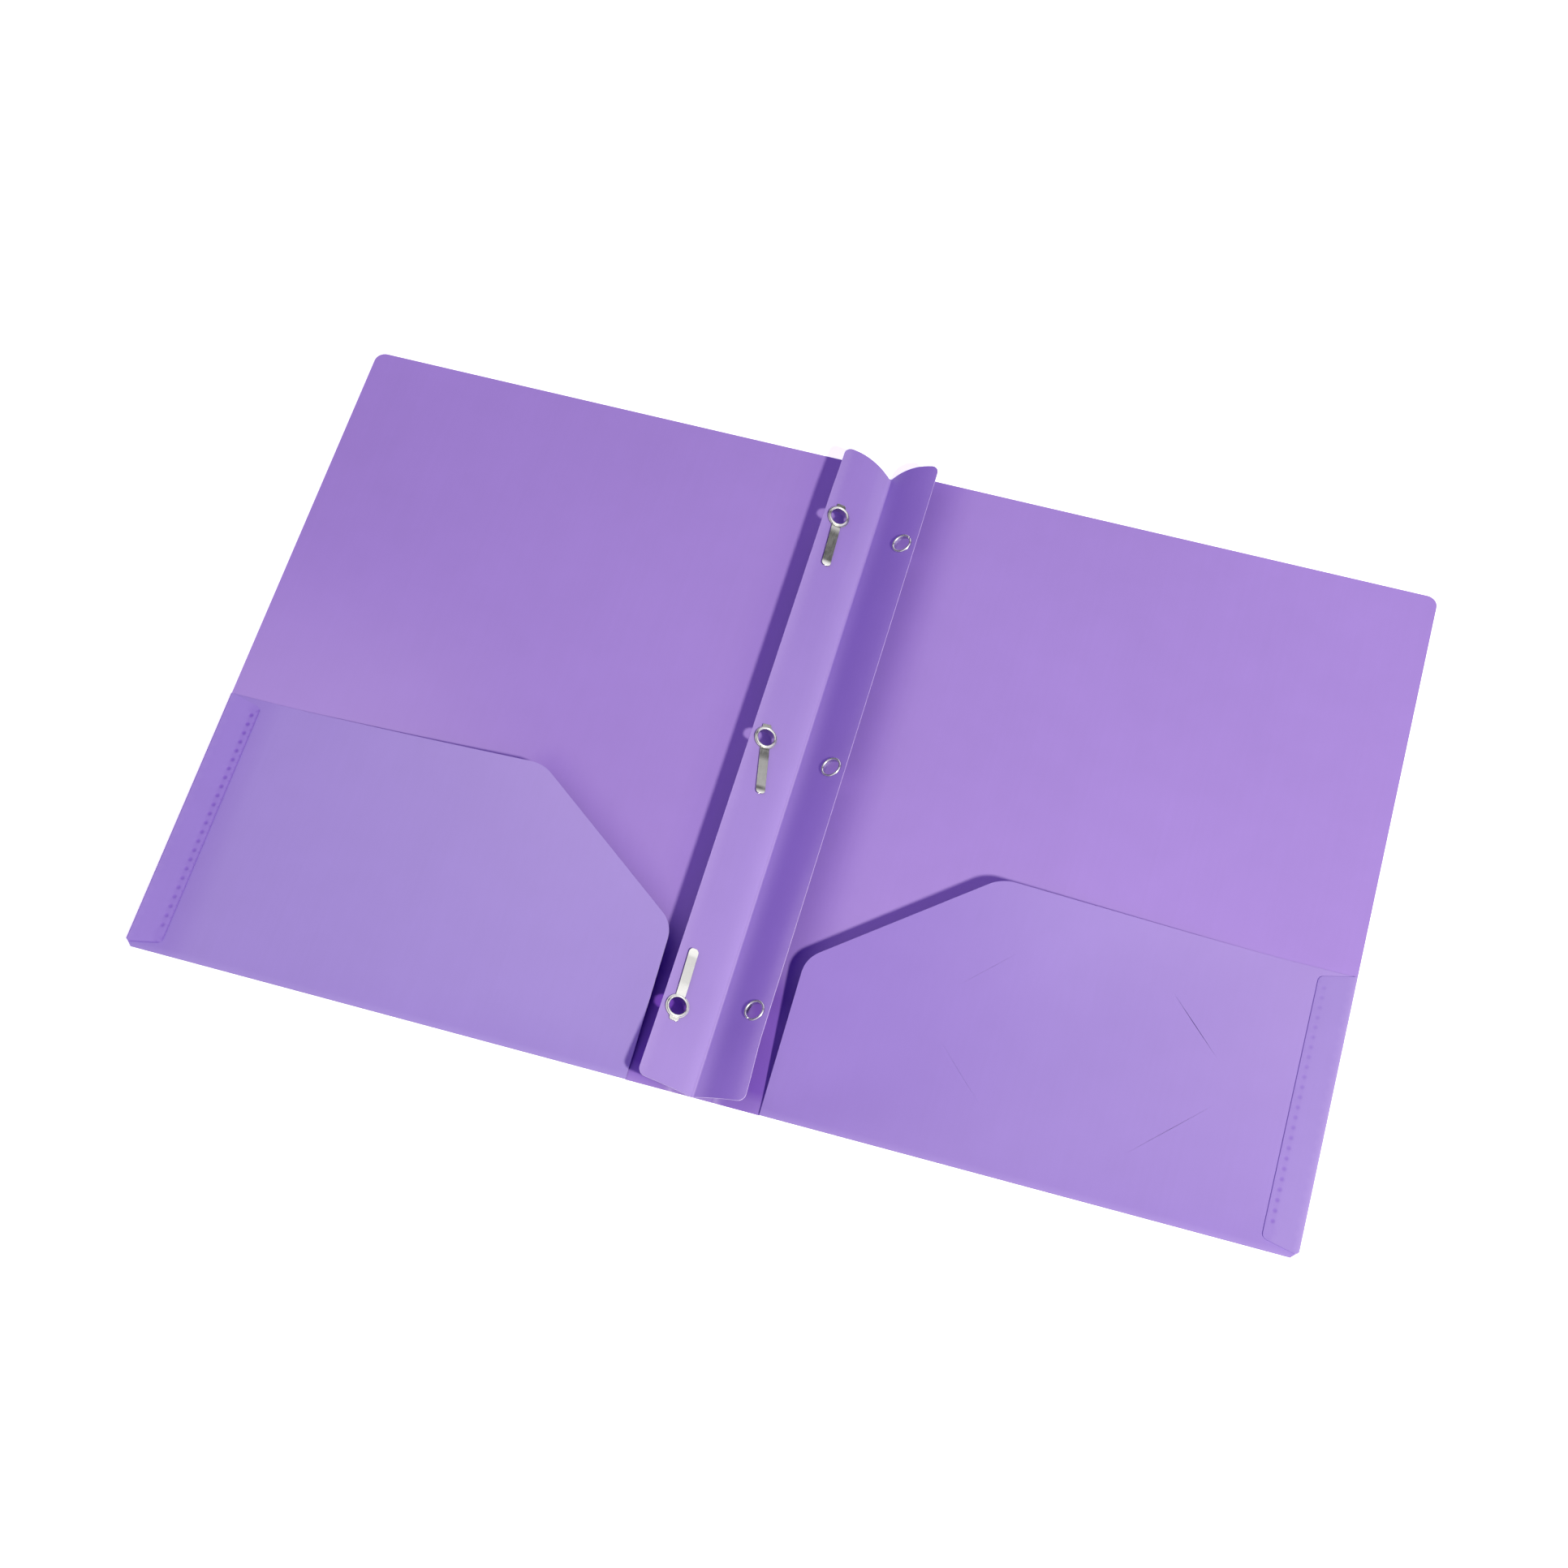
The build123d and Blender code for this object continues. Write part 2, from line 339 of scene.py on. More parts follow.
@dataclass(frozen=True)
class SteelFinish:
    """Bright nickel plating over rolled steel, with fine draw marks along the prongs."""

    name: str
    bright: Colour
    dull: Colour
    roughness: float = 0.17
    mark_size: float = 0.22
    mark_scale: tuple[float, float, float] = (1.0, 0.06, 1.0)
    mark_share: float = 0.3
    mark_roughness: float = 0.14
    mark_height: float = 0.006
    mark_strength: float = 0.4
    stain_size: float = 3.0
    stain_share: float = 0.7
    stain_roughness: float = 0.1
    fine_detail: float = 3.0
    edge_tone: Colour = (0.16, 0.15, 0.16)
    edge_share: float = 0.8

    def material(self) -> bpy.types.Material:
        """Builds the material: dull stains in the plating, draw marks in gloss and relief.

        Returns:
            The material, with a painted dark reflection on cut edges.
        """
        made, graph = empty_material(self.name)
        place = graph.coordinates("Object")
        marks = graph.noise(graph.stretched(place, self.mark_scale), self.mark_size, self.fine_detail)
        stain = graph.noise(place, self.stain_size, self.fine_detail)
        shine = (stain * self.stain_share + marks * self.mark_share).clamped()
        plating = graph.mixed(shine, self.dull, self.bright)
        rough = self.roughness + (marks - NOISE_MEAN) * self.mark_roughness
        graph.surface(
            {
                # Painted dark reflection on the cut edges
                "Base Color": graph.mixed(graph.attribute("rim") * self.edge_share, plating, self.edge_tone),
                "Metallic": 1.0,
                "Roughness": rough + (stain - NOISE_MEAN) * self.stain_roughness,
                "Normal": graph.relief(marks, self.mark_height, self.mark_strength),
            }
        )
        return made


@dataclass
class Skin:
    """A closed surface in millimetres, with a rim tag per face and a tone tag per point.

    The tone tag is positive where the plastic is pale, from fold whitening and painted light, and negative
    where it is deeper, from weld dots and painted shade.
    """

    points: Array
    faces: list[list[int]]
    rim: Array
    press: Array
    sharp_angle: float = 40.0

    def mirrored(self) -> Skin:
        """The same surface on the other side of the YZ plane, with its faces turned outwards again."""
        return replace(self, points=self.points * (-1, 1, 1), faces=[face[::-1] for face in self.faces])

    def on(self, side: Side) -> Skin:
        """The surface on the named half of the folder."""
        return self if side is Side.BACK else self.mirrored()

    def piece(self, name: str, material: bpy.types.Material) -> bpy.types.Object:
        """Makes the Blender object.

        Args:
            name: The piece's name.
            material: Its finish.

        Returns:
            The object, at the origin, with its place in its mesh.
        """
        mesh = bpy.data.meshes.new(name)
        mesh.from_pydata(self.points * MM, [], self.faces)
        for tag, domain, values in (("rim", "FACE", self.rim), ("press", "POINT", self.press)):
            column = mesh.attributes.new(tag, "FLOAT", domain)
            column.data.foreach_set("value", values.astype(np.float32))
        mesh.shade_smooth()
        mesh.set_sharp_from_angle(angle=math.radians(self.sharp_angle))
        mesh.materials.append(material)
        return put_in_scene(name, mesh)


def circle(radius: float, count: int = 40) -> Array:
    """Points at equal angles on a circle about the origin, one row each."""
    angle = np.linspace(0, 2 * math.pi, count, endpoint=False)
    return radius * np.stack([np.cos(angle), np.sin(angle)], axis=1)


def rounded(corners: Sequence[tuple[float, float, float]], steps: int = 9) -> Array:
    """Closed outline through corners, each replaced by an arc that is tangent to both sides.

    The arc's centre lies on the corner's bisector at radius / sin(half the corner's angle), and its points
    turn from the first tangent point to the last in equal angles.

    Args:
        corners: X, Y and radius of each corner, anticlockwise.
        steps: Points on each arc.

    Returns:
        The outline's points, one row each.
    """
    table = np.array(corners, float)
    point, radius = table[:, :2], table[:, 2:]
    back = np.roll(point, 1, axis=0) - point
    ahead = np.roll(point, -1, axis=0) - point
    back /= np.linalg.norm(back, axis=1, keepdims=True)
    ahead /= np.linalg.norm(ahead, axis=1, keepdims=True)
    half = np.arccos(np.clip((back * ahead).sum(axis=1, keepdims=True), -1, 1)) / 2
    bisector = (back + ahead) / np.linalg.norm(back + ahead, axis=1, keepdims=True)
    centre = point + bisector * radius / np.sin(half)
    first = point + back * radius / np.tan(half) - centre
    last = point + ahead * radius / np.tan(half) - centre
    share = np.linspace(0, 1, steps)[None, :, None]
    swing = (math.pi - 2 * half)[:, None, :]
    arc = np.sin((1 - share) * swing) * first[:, None] + np.sin(share * swing) * last[:, None]
    outline = (centre[:, None] + arc / np.sin(swing)).reshape(-1, 2)
    apart = np.linalg.norm(outline - np.roll(outline, 1, axis=0), axis=1)
    return outline[apart > SAME_POINT]


def spread(outline: Array, spacing: float) -> Array:
    """The same closed outline with points added along its longer sides.

    Args:
        outline: The outline's points.
        spacing: Length that no side is to exceed.

    Returns:
        The points of the divided outline.
    """
    step = np.roll(outline, -1, axis=0) - outline
    count = np.maximum(1, np.ceil(np.linalg.norm(step, axis=1) / spacing)).astype(int)
    side = np.repeat(np.arange(len(outline)), count)
    number = np.arange(count.sum()) - np.repeat(np.cumsum(count) - count, count)
    return outline[side] + step[side] * (number / count[side])[:, None]


def inside(points: Array, outline: Array) -> Array:
    """Even-odd rule: a point is inside where a ray to +X crosses the outline an odd number of times.

    Args:
        points: The points to test.
        outline: The closed outline.

    Returns:
        True for each point that is inside.
    """
    start, end = outline, np.roll(outline, -1, axis=0)
    x, y = points[:, :1], points[:, 1:]
    straddles = (start[:, 1] > y) != (end[:, 1] > y)
    rise = np.where(end[:, 1] == start[:, 1], 1.0, end[:, 1] - start[:, 1])
    crossing = start[:, 0] + (y - start[:, 1]) * (end[:, 0] - start[:, 0]) / rise
    return ((x < crossing) & straddles).sum(axis=1) % 2 == 1


def nearest(points: Array, others: Array) -> Array:
    """Distance from each point to the nearest of the others."""
    return np.linalg.norm(points[:, None] - others[None], axis=2).min(axis=1)


def smooth(share: Array) -> Array:
    """Smooth step: 3 t squared less 2 t cubed, with t kept between 0 and 1."""
    kept = np.clip(share, 0, 1)
    return kept * kept * (3 - 2 * kept)


def hump(distance: Array, width: float) -> Array:
    """Bell curve: e to the power of minus the square of distance / width."""
    return np.exp(-np.square(distance / width))


@dataclass
class Plan:
    """A flat cut sheet: an outline with holes, filled with a net of triangles."""

    outline: Array
    holes: list[Array] = field(default_factory=list)
    spacing: float = 4.0
    extra: Array = field(default_factory=lambda: np.zeros((0, 2)))
    clearance: float = 0.55

    def net(self) -> tuple[Array, Array]:
        """Fills the cut with triangles.

        A hexagonal grid of points, kept clear of the outline, the holes and the extra points, is joined to
        them by a Delaunay net that follows every cut edge; triangles outside the cut are dropped.

        Returns:
            The net's points and its triangles, anticlockwise.
        """
        loops = [spread(loop, self.spacing) for loop in (self.outline, *self.holes)]
        fixed = np.concatenate([*loops, self.extra])
        low, high = self.outline.min(axis=0), self.outline.max(axis=0)
        row_height = self.spacing * math.sqrt(0.75)
        column = np.arange(low[0], high[0], self.spacing)
        row = np.arange(low[1], high[1], row_height)
        grid = np.stack(np.meshgrid(column, row), axis=-1)
        grid[1::2, :, 0] += self.spacing / 2
        grid = grid.reshape(-1, 2)
        grid = grid[self.covers(grid)]
        grid = grid[nearest(grid, fixed) > self.clearance * self.spacing]
        sizes = np.array([len(loop) for loop in loops])
        starts = np.repeat(np.cumsum(sizes) - sizes, sizes)
        index = np.arange(sizes.sum())
        following = starts + (index - starts + 1) % np.repeat(sizes, sizes)
        edges = np.stack([index, following], axis=1).tolist()
        coordinates = list(map(Vector, np.concatenate([fixed, grid]).tolist()))
        found = geometry.delaunay_2d_cdt(coordinates, edges, [], 0, NET_TOLERANCE)
        points = np.array([tuple(p) for p in found[0]])
        triangles = np.array(found[2])
        middle = points[triangles].mean(axis=1)
        return points, triangles[self.covers(middle)]

    def covers(self, points: Array) -> Array:
        """Finds which points lie on the sheet.

        Args:
            points: The points to test.

        Returns:
            True for each point inside the outline and outside every hole.
        """
        on_sheet = inside(points, self.outline)
        for hole in self.holes:
            on_sheet &= ~inside(points, hole)
        return on_sheet


def sheet_skin(plan: Plan, place: OverSheet, thickness: float | OverSheet, press: OverSheet) -> Skin:
    """A closed sheet from a flat cut.

    The outer face is place(u, v) over the plan's net. The inner face lies one thickness below it along the
    normal, which is the cross product of the two slopes of place. A band of faces joins them along every cut
    edge, and carries the rim tag.

    Args:
        plan: The cut, in the parameters u and v.
        place: Gives the outer face's points from u and v.
        thickness: The sheet's thickness, or a function of u and v that gives it.
        press: Gives the tone tag at u and v, painted light and shade included.

    Returns:
        The closed surface.
    """
    flat, triangles = plan.net()
    u, v = flat.T
    along_u = place(u + SLOPE_STEP, v) - place(u - SLOPE_STEP, v)
    along_v = place(u, v + SLOPE_STEP) - place(u, v - SLOPE_STEP)
    normal = np.cross(along_u, along_v)
    normal /= np.linalg.norm(normal, axis=1, keepdims=True)
    outer = place(u, v)
    depth = thickness(u, v)[:, None] if callable(thickness) else thickness
    count = len(flat)
    sides = np.concatenate([triangles[:, [0, 1]], triangles[:, [1, 2]], triangles[:, [2, 0]]])
    key = np.sort(sides, axis=1) @ (count, 1)
    _, where, uses = np.unique(key, return_index=True, return_counts=True)
    start, end = sides[where[uses == 1]].T
    band = np.stack([start, start + count, end + count, end], axis=1)
    faces = triangles.tolist() + (triangles[:, ::-1] + count).tolist() + band.tolist()
    rim = np.concatenate([np.zeros(2 * len(triangles)), np.ones(len(band))])
    return Skin(np.concatenate([outer, outer - normal * depth]), faces, rim, np.tile(press(u, v), 2))


def ring_skin(points: Array) -> Skin:
    """A closed profile carried along a path that closes on itself.

    Args:
        points: Rows along the path, columns round the profile, and X, Y, Z.

    Returns:
        The closed surface.
    """
    rows, columns = points.shape[:2]
    here = np.arange(rows * columns).reshape(rows, columns)
    ahead = np.roll(here, -1, axis=0)
    quads = np.stack([here, np.roll(here, -1, axis=1), np.roll(ahead, -1, axis=1), ahead], axis=-1)
    faces = quads.reshape(-1, 4).tolist()
    flat = points.reshape(-1, 3)
    return Skin(flat, faces, np.zeros(len(faces)), np.zeros(len(flat)))


def untagged(u: Array, v: Array) -> Array:
    """Tone tag of a sheet that has no folds, weld dots, painted light or painted shade."""
    return np.zeros_like(u)


@dataclass(frozen=True)
class Bend:
    """A path whose slope changes along it, as plain arrays to look places up in."""

    along: Array
    run: Array
    rise: Array

    @classmethod
    def from_slope(cls, along: Array, slope: Array) -> Bend:
        """Adds up cos(slope) and sin(slope) along the path, halfway between its points.

        Args:
            along: Distances along the path.
            slope: The slope at each, in radians.

        Returns:
            The path, which starts at no run and no rise.
        """
        step = np.diff(along)
        middle = (slope[1:] + slope[:-1]) / 2
        run = np.concatenate([[0], np.cumsum(step * np.cos(middle))])
        rise = np.concatenate([[0], np.cumsum(step * np.sin(middle))])
        return cls(along, run, rise)

    def at(self, along: Array) -> tuple[Array, Array]:
        """Run and rise at a distance along the path."""
        return np.interp(along, self.along, self.run), np.interp(along, self.along, self.rise)


class Model:
    """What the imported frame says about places, in millimetres."""

    def __init__(self, frame: dict[str, Any]) -> None:
        """Keeps the joints and the mounts by name."""
        self.joints = {joint["name"]: joint for joint in frame["joints"]}
        self.mounts = {mount["name"]: mount for mount in frame["record"]["mounts"]}

    def box(self, node: str) -> tuple[Array, Array]:
        """Lowest and highest corner of a node."""
        low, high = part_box(node)
        return np.array(low) / MM, np.array(high) / MM

    def joint(self, name: str) -> tuple[Array, Array]:
        """Place and axis of a joint."""
        found = self.joints[name]
        return np.array(found["pos_m"]) / MM, np.array(found["axis"], float)

    def mount(self, name: str) -> tuple[Array, Array, float]:
        """Place, axis and length of a round mount."""
        found = self.mounts[name]
        return np.array(found["pos_m"]) / MM, np.array(found["axis"], float), found["dims"]["length_mm"]


def settle(
    piece: bpy.types.Object,
    nodes: Sequence[str],
    body: str,
    bend: tuple[str, Array, Array] | None = None,
) -> None:
    """Ties a finished piece to its body, or only bakes it in place where a bend is given, and reports it.

    Args:
        piece: The piece.
        nodes: The nodes that it stands for.
        body: The body that carries it where no bend is given.
        bend: A second body and two points in millimetres, which are not used.
    """
    if bend is None:
        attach(piece, body)
    else:
        other, start, end = bend
        tuple(start * MM)
        tuple(end * MM)
        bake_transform(piece)
    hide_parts(*nodes)
    log.info("%s: %d faces, on %s", piece.name, len(piece.data.polygons), body)


@dataclass
class Body:
    """The folded sheet: spine, covers, pockets and side tabs."""

    model: Model
    finish: bpy.types.Material
    pocket_finishes: dict[Side, bpy.types.Material]
    tab_finishes: dict[Side, bpy.types.Material]
    # Sheet, creases and folds
    sheet: float = 0.45
    corner_radius: float = 4.5
    corner_cut: float = 3.0
    score_depth: float = 0.15
    score_half_width: float = 0.3
    crease_reach: float = 1.2
    crease_stretch: float = 20.0
    fold_stretch: float = 36.0
    fold_clearance: float = 0.05
    spine_overlap: float = 1.5
    spine_notch: float = 4.0
    notch_half_width: float = 0.5
    # Pockets
    pocket_gap: float = 0.3
    inner_edge_height: float = 63.5
    slant_runs: dict[Side, float] = per_side(70.0, 64.5)
    low_corner_radius: float = 12.0
    high_corner_radius: float = 16.0
    mouth_lift: float = 10.0
    bend_bands: dict[Side, tuple[float, float]] = per_side((-34.0, 40.0), (-25.0, 25.0))
    bend_points: int = 600
    fan_start: float = 0.2
    fan_length: float = 90.0
    weld_hold: float = 40.0
    flex_half_width: float = 5.0
    # Slits that hold a card
    card_width: float = 89.0
    card_height: float = 51.0
    card_from_outer: float = 96.7
    card_from_bottom: float = 58.2
    slit_corner_leg: float = 7.6
    slit_turn: float = 45.0
    slit_length: float = 31.0
    slit_width: float = 0.25
    low_slit_length: float = 40.0
    low_slit_width: float = 0.16
    shut_slit_width: float = 0.06
    # Side tabs and their weld dots
    tab_width: float = 14.5
    tab_foot: float = 1.4
    tab_taper: float = 3.0
    tab_corner_radius: float = 2.5
    dot_diameter: float = 2.2
    dot_pitch: float = 4.2
    dot_inset: float = 2.6
    dot_depths: dict[Side, float] = per_side(0.2, 0.1)
    dot_edge: float = 1.25
    dot_rings: tuple[float, ...] = (0.01, 0.45, 0.8, 1.1, 1.5)
    dot_ring_points: int = 10
    weld_line: float = 0.6
    edge_points: int = 60
    foot_points: int = 20
    foot_margins: tuple[float, float] = (1.0, 3.0)
    # Tones of the covers: the shades are painted shade and the glows painted light
    crease_pale_width: float = 1.0
    spine_shades: dict[Side, float] = per_side(0.1, 0.36)
    spine_shade_starts: dict[Side, float] = per_side(28.0, 19.0)
    spine_shade_widths: dict[Side, float] = per_side(16.0, 20.0)
    spine_shade_back: float = 20.0
    mouth_shades: dict[Side, float] = per_side(0.22, 0.0)
    mouth_points: int = 40
    slot_shades: dict[Side, float] = per_side(0.88, 0.68)
    slot_reach: float = 15.0
    slot_fade: float = 25.0
    slot_rise: float = 8.0
    glows: dict[Side, float] = per_side(0.5, 0.0)
    glow_rise: float = 80.0
    glow_start: float = 90.0
    glow_run: float = 100.0
    # Tones of the pockets: the fades are painted light, and the corner and tab shades painted shade
    bottom_fold_pale: float = 0.1
    low_fades: dict[Side, float] = per_side(-0.08, -0.06)
    high_fades: dict[Side, float] = per_side(0.47, 0.5)
    fade_starts: dict[Side, float] = per_side(233.0, 40.0)
    fade_runs: dict[Side, float] = per_side(-150.0, 170.0)
    corner_shades: dict[Side, float] = per_side(0.0, 0.19)
    tab_shades: dict[Side, float] = per_side(0.16, 0.0)
    # Tones of the tabs: painted shadow lines along the edges, a painted shade band, and the weld marks
    side_fold_pale: float = 0.3
    edge_marks: dict[Side, float] = per_side(0.35, 0.08)
    low_dot_marks: dict[Side, float] = per_side(0.28, 0.32)
    high_dot_marks: dict[Side, float] = per_side(0.45, 0.1)
    band_share: float = 0.3
    streak_share: float = 0.4
    streak_width: float = 1.0

    def __post_init__(self) -> None:
        """Reads the main places from the frame."""
        low, high = self.model.box("back_cover")
        self.bottom, self.top, self.outer = low[1], high[1], high[0]
        self.crease = self.model.joint("back_cover_fold")[0][0]
        pocket_low, pocket_high = self.model.box("back_pocket_panel")
        self.pocket_inner, self.pocket_top = pocket_low[0], pocket_high[1]
        self.tab_top = self.model.box("back_side_tab")[1][1]
        self.tab_edge = self.outer - self.tab_width
        self.fold_top = self.pocket_top - self.fold_clearance
        self.pocket_face = 2 * self.sheet + self.pocket_gap
        self.tab_face = self.pocket_face + self.sheet
        self.bottom_roll = self.pocket_face / 2
        self.side_roll = self.tab_face / 2
        self.bottom_fold = self.bottom + self.bottom_roll
        self.side_fold = self.outer - self.side_roll
        self.cut_line = self.outer - self.corner_cut - self.bottom

    def build(self) -> None:
        """Makes every sheet of the body."""
        self.spine()
        for side in Side:
            self.cover(side)
            self.pocket(side)
            self.tab(side)

    def flat_place(self, u: Array, v: Array) -> Array:
        """A plain flat sheet on the table: u is X, v is Y."""
        return np.stack([u, v, np.full_like(u, self.sheet)], axis=1)

    def spine(self) -> None:
        """Flat band between the creases, notched at the top: the plan itself, at the sheet's upper face."""
        reach = self.crease - self.spine_overlap
        notch = (self.notch_half_width, self.top - self.spine_notch)
        right = [(reach, self.bottom), (reach, self.top), notch]
        ends = right + [(-x, y) for x, y in right[::-1]]
        plan = Plan(rounded([(x, y, 0) for x, y in ends]), spacing=6.0)
        skin = sheet_skin(plan, self.flat_place, self.sheet, untagged)
        settle(skin.piece("spine_sheet", self.finish), ["spine"], "spine")

    def cover(self, side: Side) -> None:
        """Flat cover, from under the spine's edge out to the folder's outer edge.

        u is X, drawn out round the crease so that the net is fine there, and v is Y. A V-shaped score thins
        the sheet along the crease.

        Args:
            side: The half that it covers.
        """
        near, far = self.crease - self.crease_reach, self.crease + self.crease_reach
        real = np.array([0, near, far, 2 * self.outer])
        zone = 2 * self.crease_reach * (self.crease_stretch - 1)
        drawn = real + np.array([0, 0, zone, zone])
        inner = self.crease - self.spine_overlap
        corners = [
            (inner, self.bottom, 0),
            (self.pocket_inner, self.bottom, 0),
            (self.pocket_inner, self.bottom_fold, 0),
            (self.cut_line + self.bottom_fold, self.bottom_fold, 0),
            (self.side_fold, self.side_fold - self.cut_line, 0),
            (self.side_fold, self.fold_top, 0),
            (self.outer, self.fold_top, 0),
            (self.outer, self.top, self.corner_radius),
            (inner, self.top, 0),
        ]
        outline = rounded(corners)
        outline[:, 0] = np.interp(outline[:, 0], real, drawn)

        def place(u: Array, v: Array) -> Array:
            """The flat sheet at the real X."""
            return self.flat_place(np.interp(u, drawn, real), v)

        def from_crease(u: Array) -> Array:
            """Distance from the crease."""
            return np.abs(np.interp(u, drawn, real) - self.crease)

        def thickness(u: Array, v: Array) -> Array:
            """The sheet, thinned along the score."""
            return self.sheet - self.score_depth * np.clip(1 - from_crease(u) / self.score_half_width, 0, 1)

        shade, shade_width = self.spine_shades[side], self.spine_shade_widths[side]
        shade_start = self.spine_shade_starts[side]
        low_end = np.array([self.pocket_inner, self.bottom + self.inner_edge_height])
        high_end = np.array([self.pocket_inner + self.slant_runs[side], self.pocket_top])
        mouth = low_end + np.linspace(0, 1, self.mouth_points)[:, None] * (high_end - low_end)

        def press(u: Array, v: Array) -> Array:
            """Pale in the crease; painted light above the pocket, painted shade by the strip, in the slot and
            by the mouth.

            Args:
                u: X, drawn out round the crease.
                v: Y.

            Returns:
                The tone tag of each point.
            """
            x = np.interp(u, drawn, real)
            # Painted shade beside the strip, by the pocket's mouth and in the slot under the wing; the glow
            # is painted light
            beside = shade * (x > shade_start - self.spine_shade_back)
            beside *= smooth(1 - (x - shade_start) / shade_width)
            from_mouth = nearest(np.stack([x, v], axis=1), mouth)
            under = self.mouth_shades[side] * smooth(1 - from_mouth / shade_width)
            slot = self.slot_shades[side] * smooth(1 - (x - self.pocket_inner) / self.slot_reach)
            slot *= smooth((low_end[1] + self.slot_rise - v) / self.slot_fade)
            slot *= smooth((v - self.bottom) / self.slot_rise)
            glow = self.glows[side] * smooth((x - self.glow_start) / self.glow_run)
            glow *= smooth(1 - (v - self.pocket_top) / self.glow_rise)
            pale = hump(from_crease(u), self.crease_pale_width) + glow
            return pale - np.maximum.reduce([beside, under, slot])

        skin = sheet_skin(Plan(outline, spacing=5.0), place, thickness, press)
        start = np.array([side.value * near, 0, self.sheet])
        end = np.array([side.value * far, 0, self.sheet])
        piece = skin.on(side).piece(f"{side.label}_cover_sheet", self.finish)
        settle(piece, [f"{side.label}_cover"], "spine", (f"{side.label}_cover", start, end))

    def card_slits(self) -> list[Array]:
        """Cuts the four slits that hold the corners of a card.

        Returns:
            The outline of each slit, a narrow blade. The two on the left are all but shut.
        """
        reach = (np.array([self.card_width, self.card_height]) - self.slit_corner_leg) / 2
        middle = np.array([self.outer - self.card_from_outer, self.bottom + self.card_from_bottom])
        blades = {
            (-1, -1): (self.slit_length, self.shut_slit_width),
            (-1, 1): (self.slit_length, self.shut_slit_width),
            (1, -1): (self.low_slit_length, self.low_slit_width),
            (1, 1): (self.slit_length, self.slit_width),
        }
        slits = []
        for corner, (length, width) in blades.items():
            blade = np.array([(-length, 0), (0, -width), (length, 0), (0, width)]) / 2
            angle = math.radians(-self.slit_turn * corner[0] * corner[1])
            turn = np.array([[math.cos(angle), math.sin(angle)], [-math.sin(angle), math.cos(angle)]])
            slits.append(blade @ turn + middle + reach * corner)
        return slits

    def pocket(self, side: Side) -> None:
        """Pocket in one sheet: bottom fold, panel and the loose corner that springs up.

        u is X and v is the distance up from the fold line. Below the fold line v turns round a roll from the
        panel down to the cover. Above it the flat sheet is bent about the bend line: at a distance d beyond
        that line its slope grows by a smooth step from nothing to the mouth's lift, and d becomes the
        added-up cosine of the slope and the height its added-up sine. The step is narrow at the line's lower
        end and fans out along the line. Towards the welded tab the bend fades out.

        Args:
            side: The half that it lies on.
        """
        hinge, axis = self.model.joint("back_pocket_flex")
        line = -axis[:2] / np.linalg.norm(axis[:2])
        across = np.array([-line[1], line[0]])
        first, last = self.bend_bands[side]
        along = np.linspace(first, self.outer, self.bend_points)
        slope = math.radians(self.mouth_lift) * smooth((along - first) / (last - first))
        bend = Bend.from_slope(along, slope)
        real = np.array([-math.pi * self.bottom_roll, 0, self.outer])
        drawn = np.array([-self.fold_stretch, 0, self.outer])
        outer = self.side_fold - self.fold_clearance
        height = self.pocket_top - self.bottom_fold
        inner_top = self.bottom + self.inner_edge_height - self.bottom_fold
        corners = [
            (self.pocket_inner, -self.fold_stretch, 0),
            (self.cut_line + self.bottom_fold, -self.fold_stretch, 0),
            (self.cut_line + self.bottom, -self.fold_stretch / 2, 0),
            (self.cut_line + self.bottom_fold, 0, 0),
            (outer, outer - self.cut_line - self.bottom_fold, 0),
            (outer, height, 0),
            (self.pocket_inner + self.slant_runs[side], height, self.high_corner_radius),
            (self.pocket_inner, inner_top, self.low_corner_radius),
        ]
        slits = self.card_slits() if side is Side.BACK else []
        holes = [slit - (0, self.bottom_fold) for slit in slits]

        def place(u: Array, v: Array) -> Array:
            """The folded and bent sheet's outer face.

            Args:
                u: X.
                v: Distance up from the fold line, drawn out below it.

            Returns:
                The points.
            """
            up = np.interp(v, drawn, real)
            turn = np.clip(-up / self.bottom_roll, 0, math.pi)
            y = self.bottom_fold + np.maximum(up, 0) - self.bottom_roll * np.sin(turn)
            z = self.bottom_roll * (1 + np.cos(turn))
            flat = np.stack([u, y], axis=1) - hinge[:2]
            beyond = flat @ across
            fan = np.clip(self.fan_start + flat @ line / self.fan_length, self.fan_start, 1)
            run, rise = fan * bend.at(beyond / fan)
            free = smooth((self.tab_edge - u) / self.weld_hold)
            shift = np.where(beyond > fan * first, fan * first + run - beyond, 0) * free
            x, y = (flat + shift[:, None] * across + hinge[:2]).T
            return np.stack([x, np.maximum(y, self.bottom), z + rise * free], axis=1)

        low_fade, high_fade = self.low_fades[side], self.high_fades[side]

        def press(u: Array, v: Array) -> Array:
            """Pale along the fold; painted light upwards on one side, painted shade to the loose corner and
            beside the tab.

            Args:
                u: X.
                v: Distance up from the fold line, drawn out below it.

            Returns:
                The press tag of each point.
            """
            folded = self.bottom_fold_pale * smooth(1 - np.interp(v, drawn, real) / self.bottom_roll)
            beyond = (np.stack([u, v + self.bottom_fold], axis=1) - hinge[:2]) @ across
            # Painted shade towards the loose corner and beside the tab; the fade is painted light upwards,
            # painted shade at the bottom
            corner = self.corner_shades[side] * smooth((beyond - 2 * first) / (last - 2 * first))
            beside = self.tab_shades[side] * smooth(1 - (self.tab_edge - u) / self.tab_width)
            fade = low_fade + (high_fade - low_fade) * np.clip(v / height, 0, 1)
            fade *= np.clip((u - self.fade_starts[side]) / self.fade_runs[side], 0, 1)
            return folded + fade - corner - beside

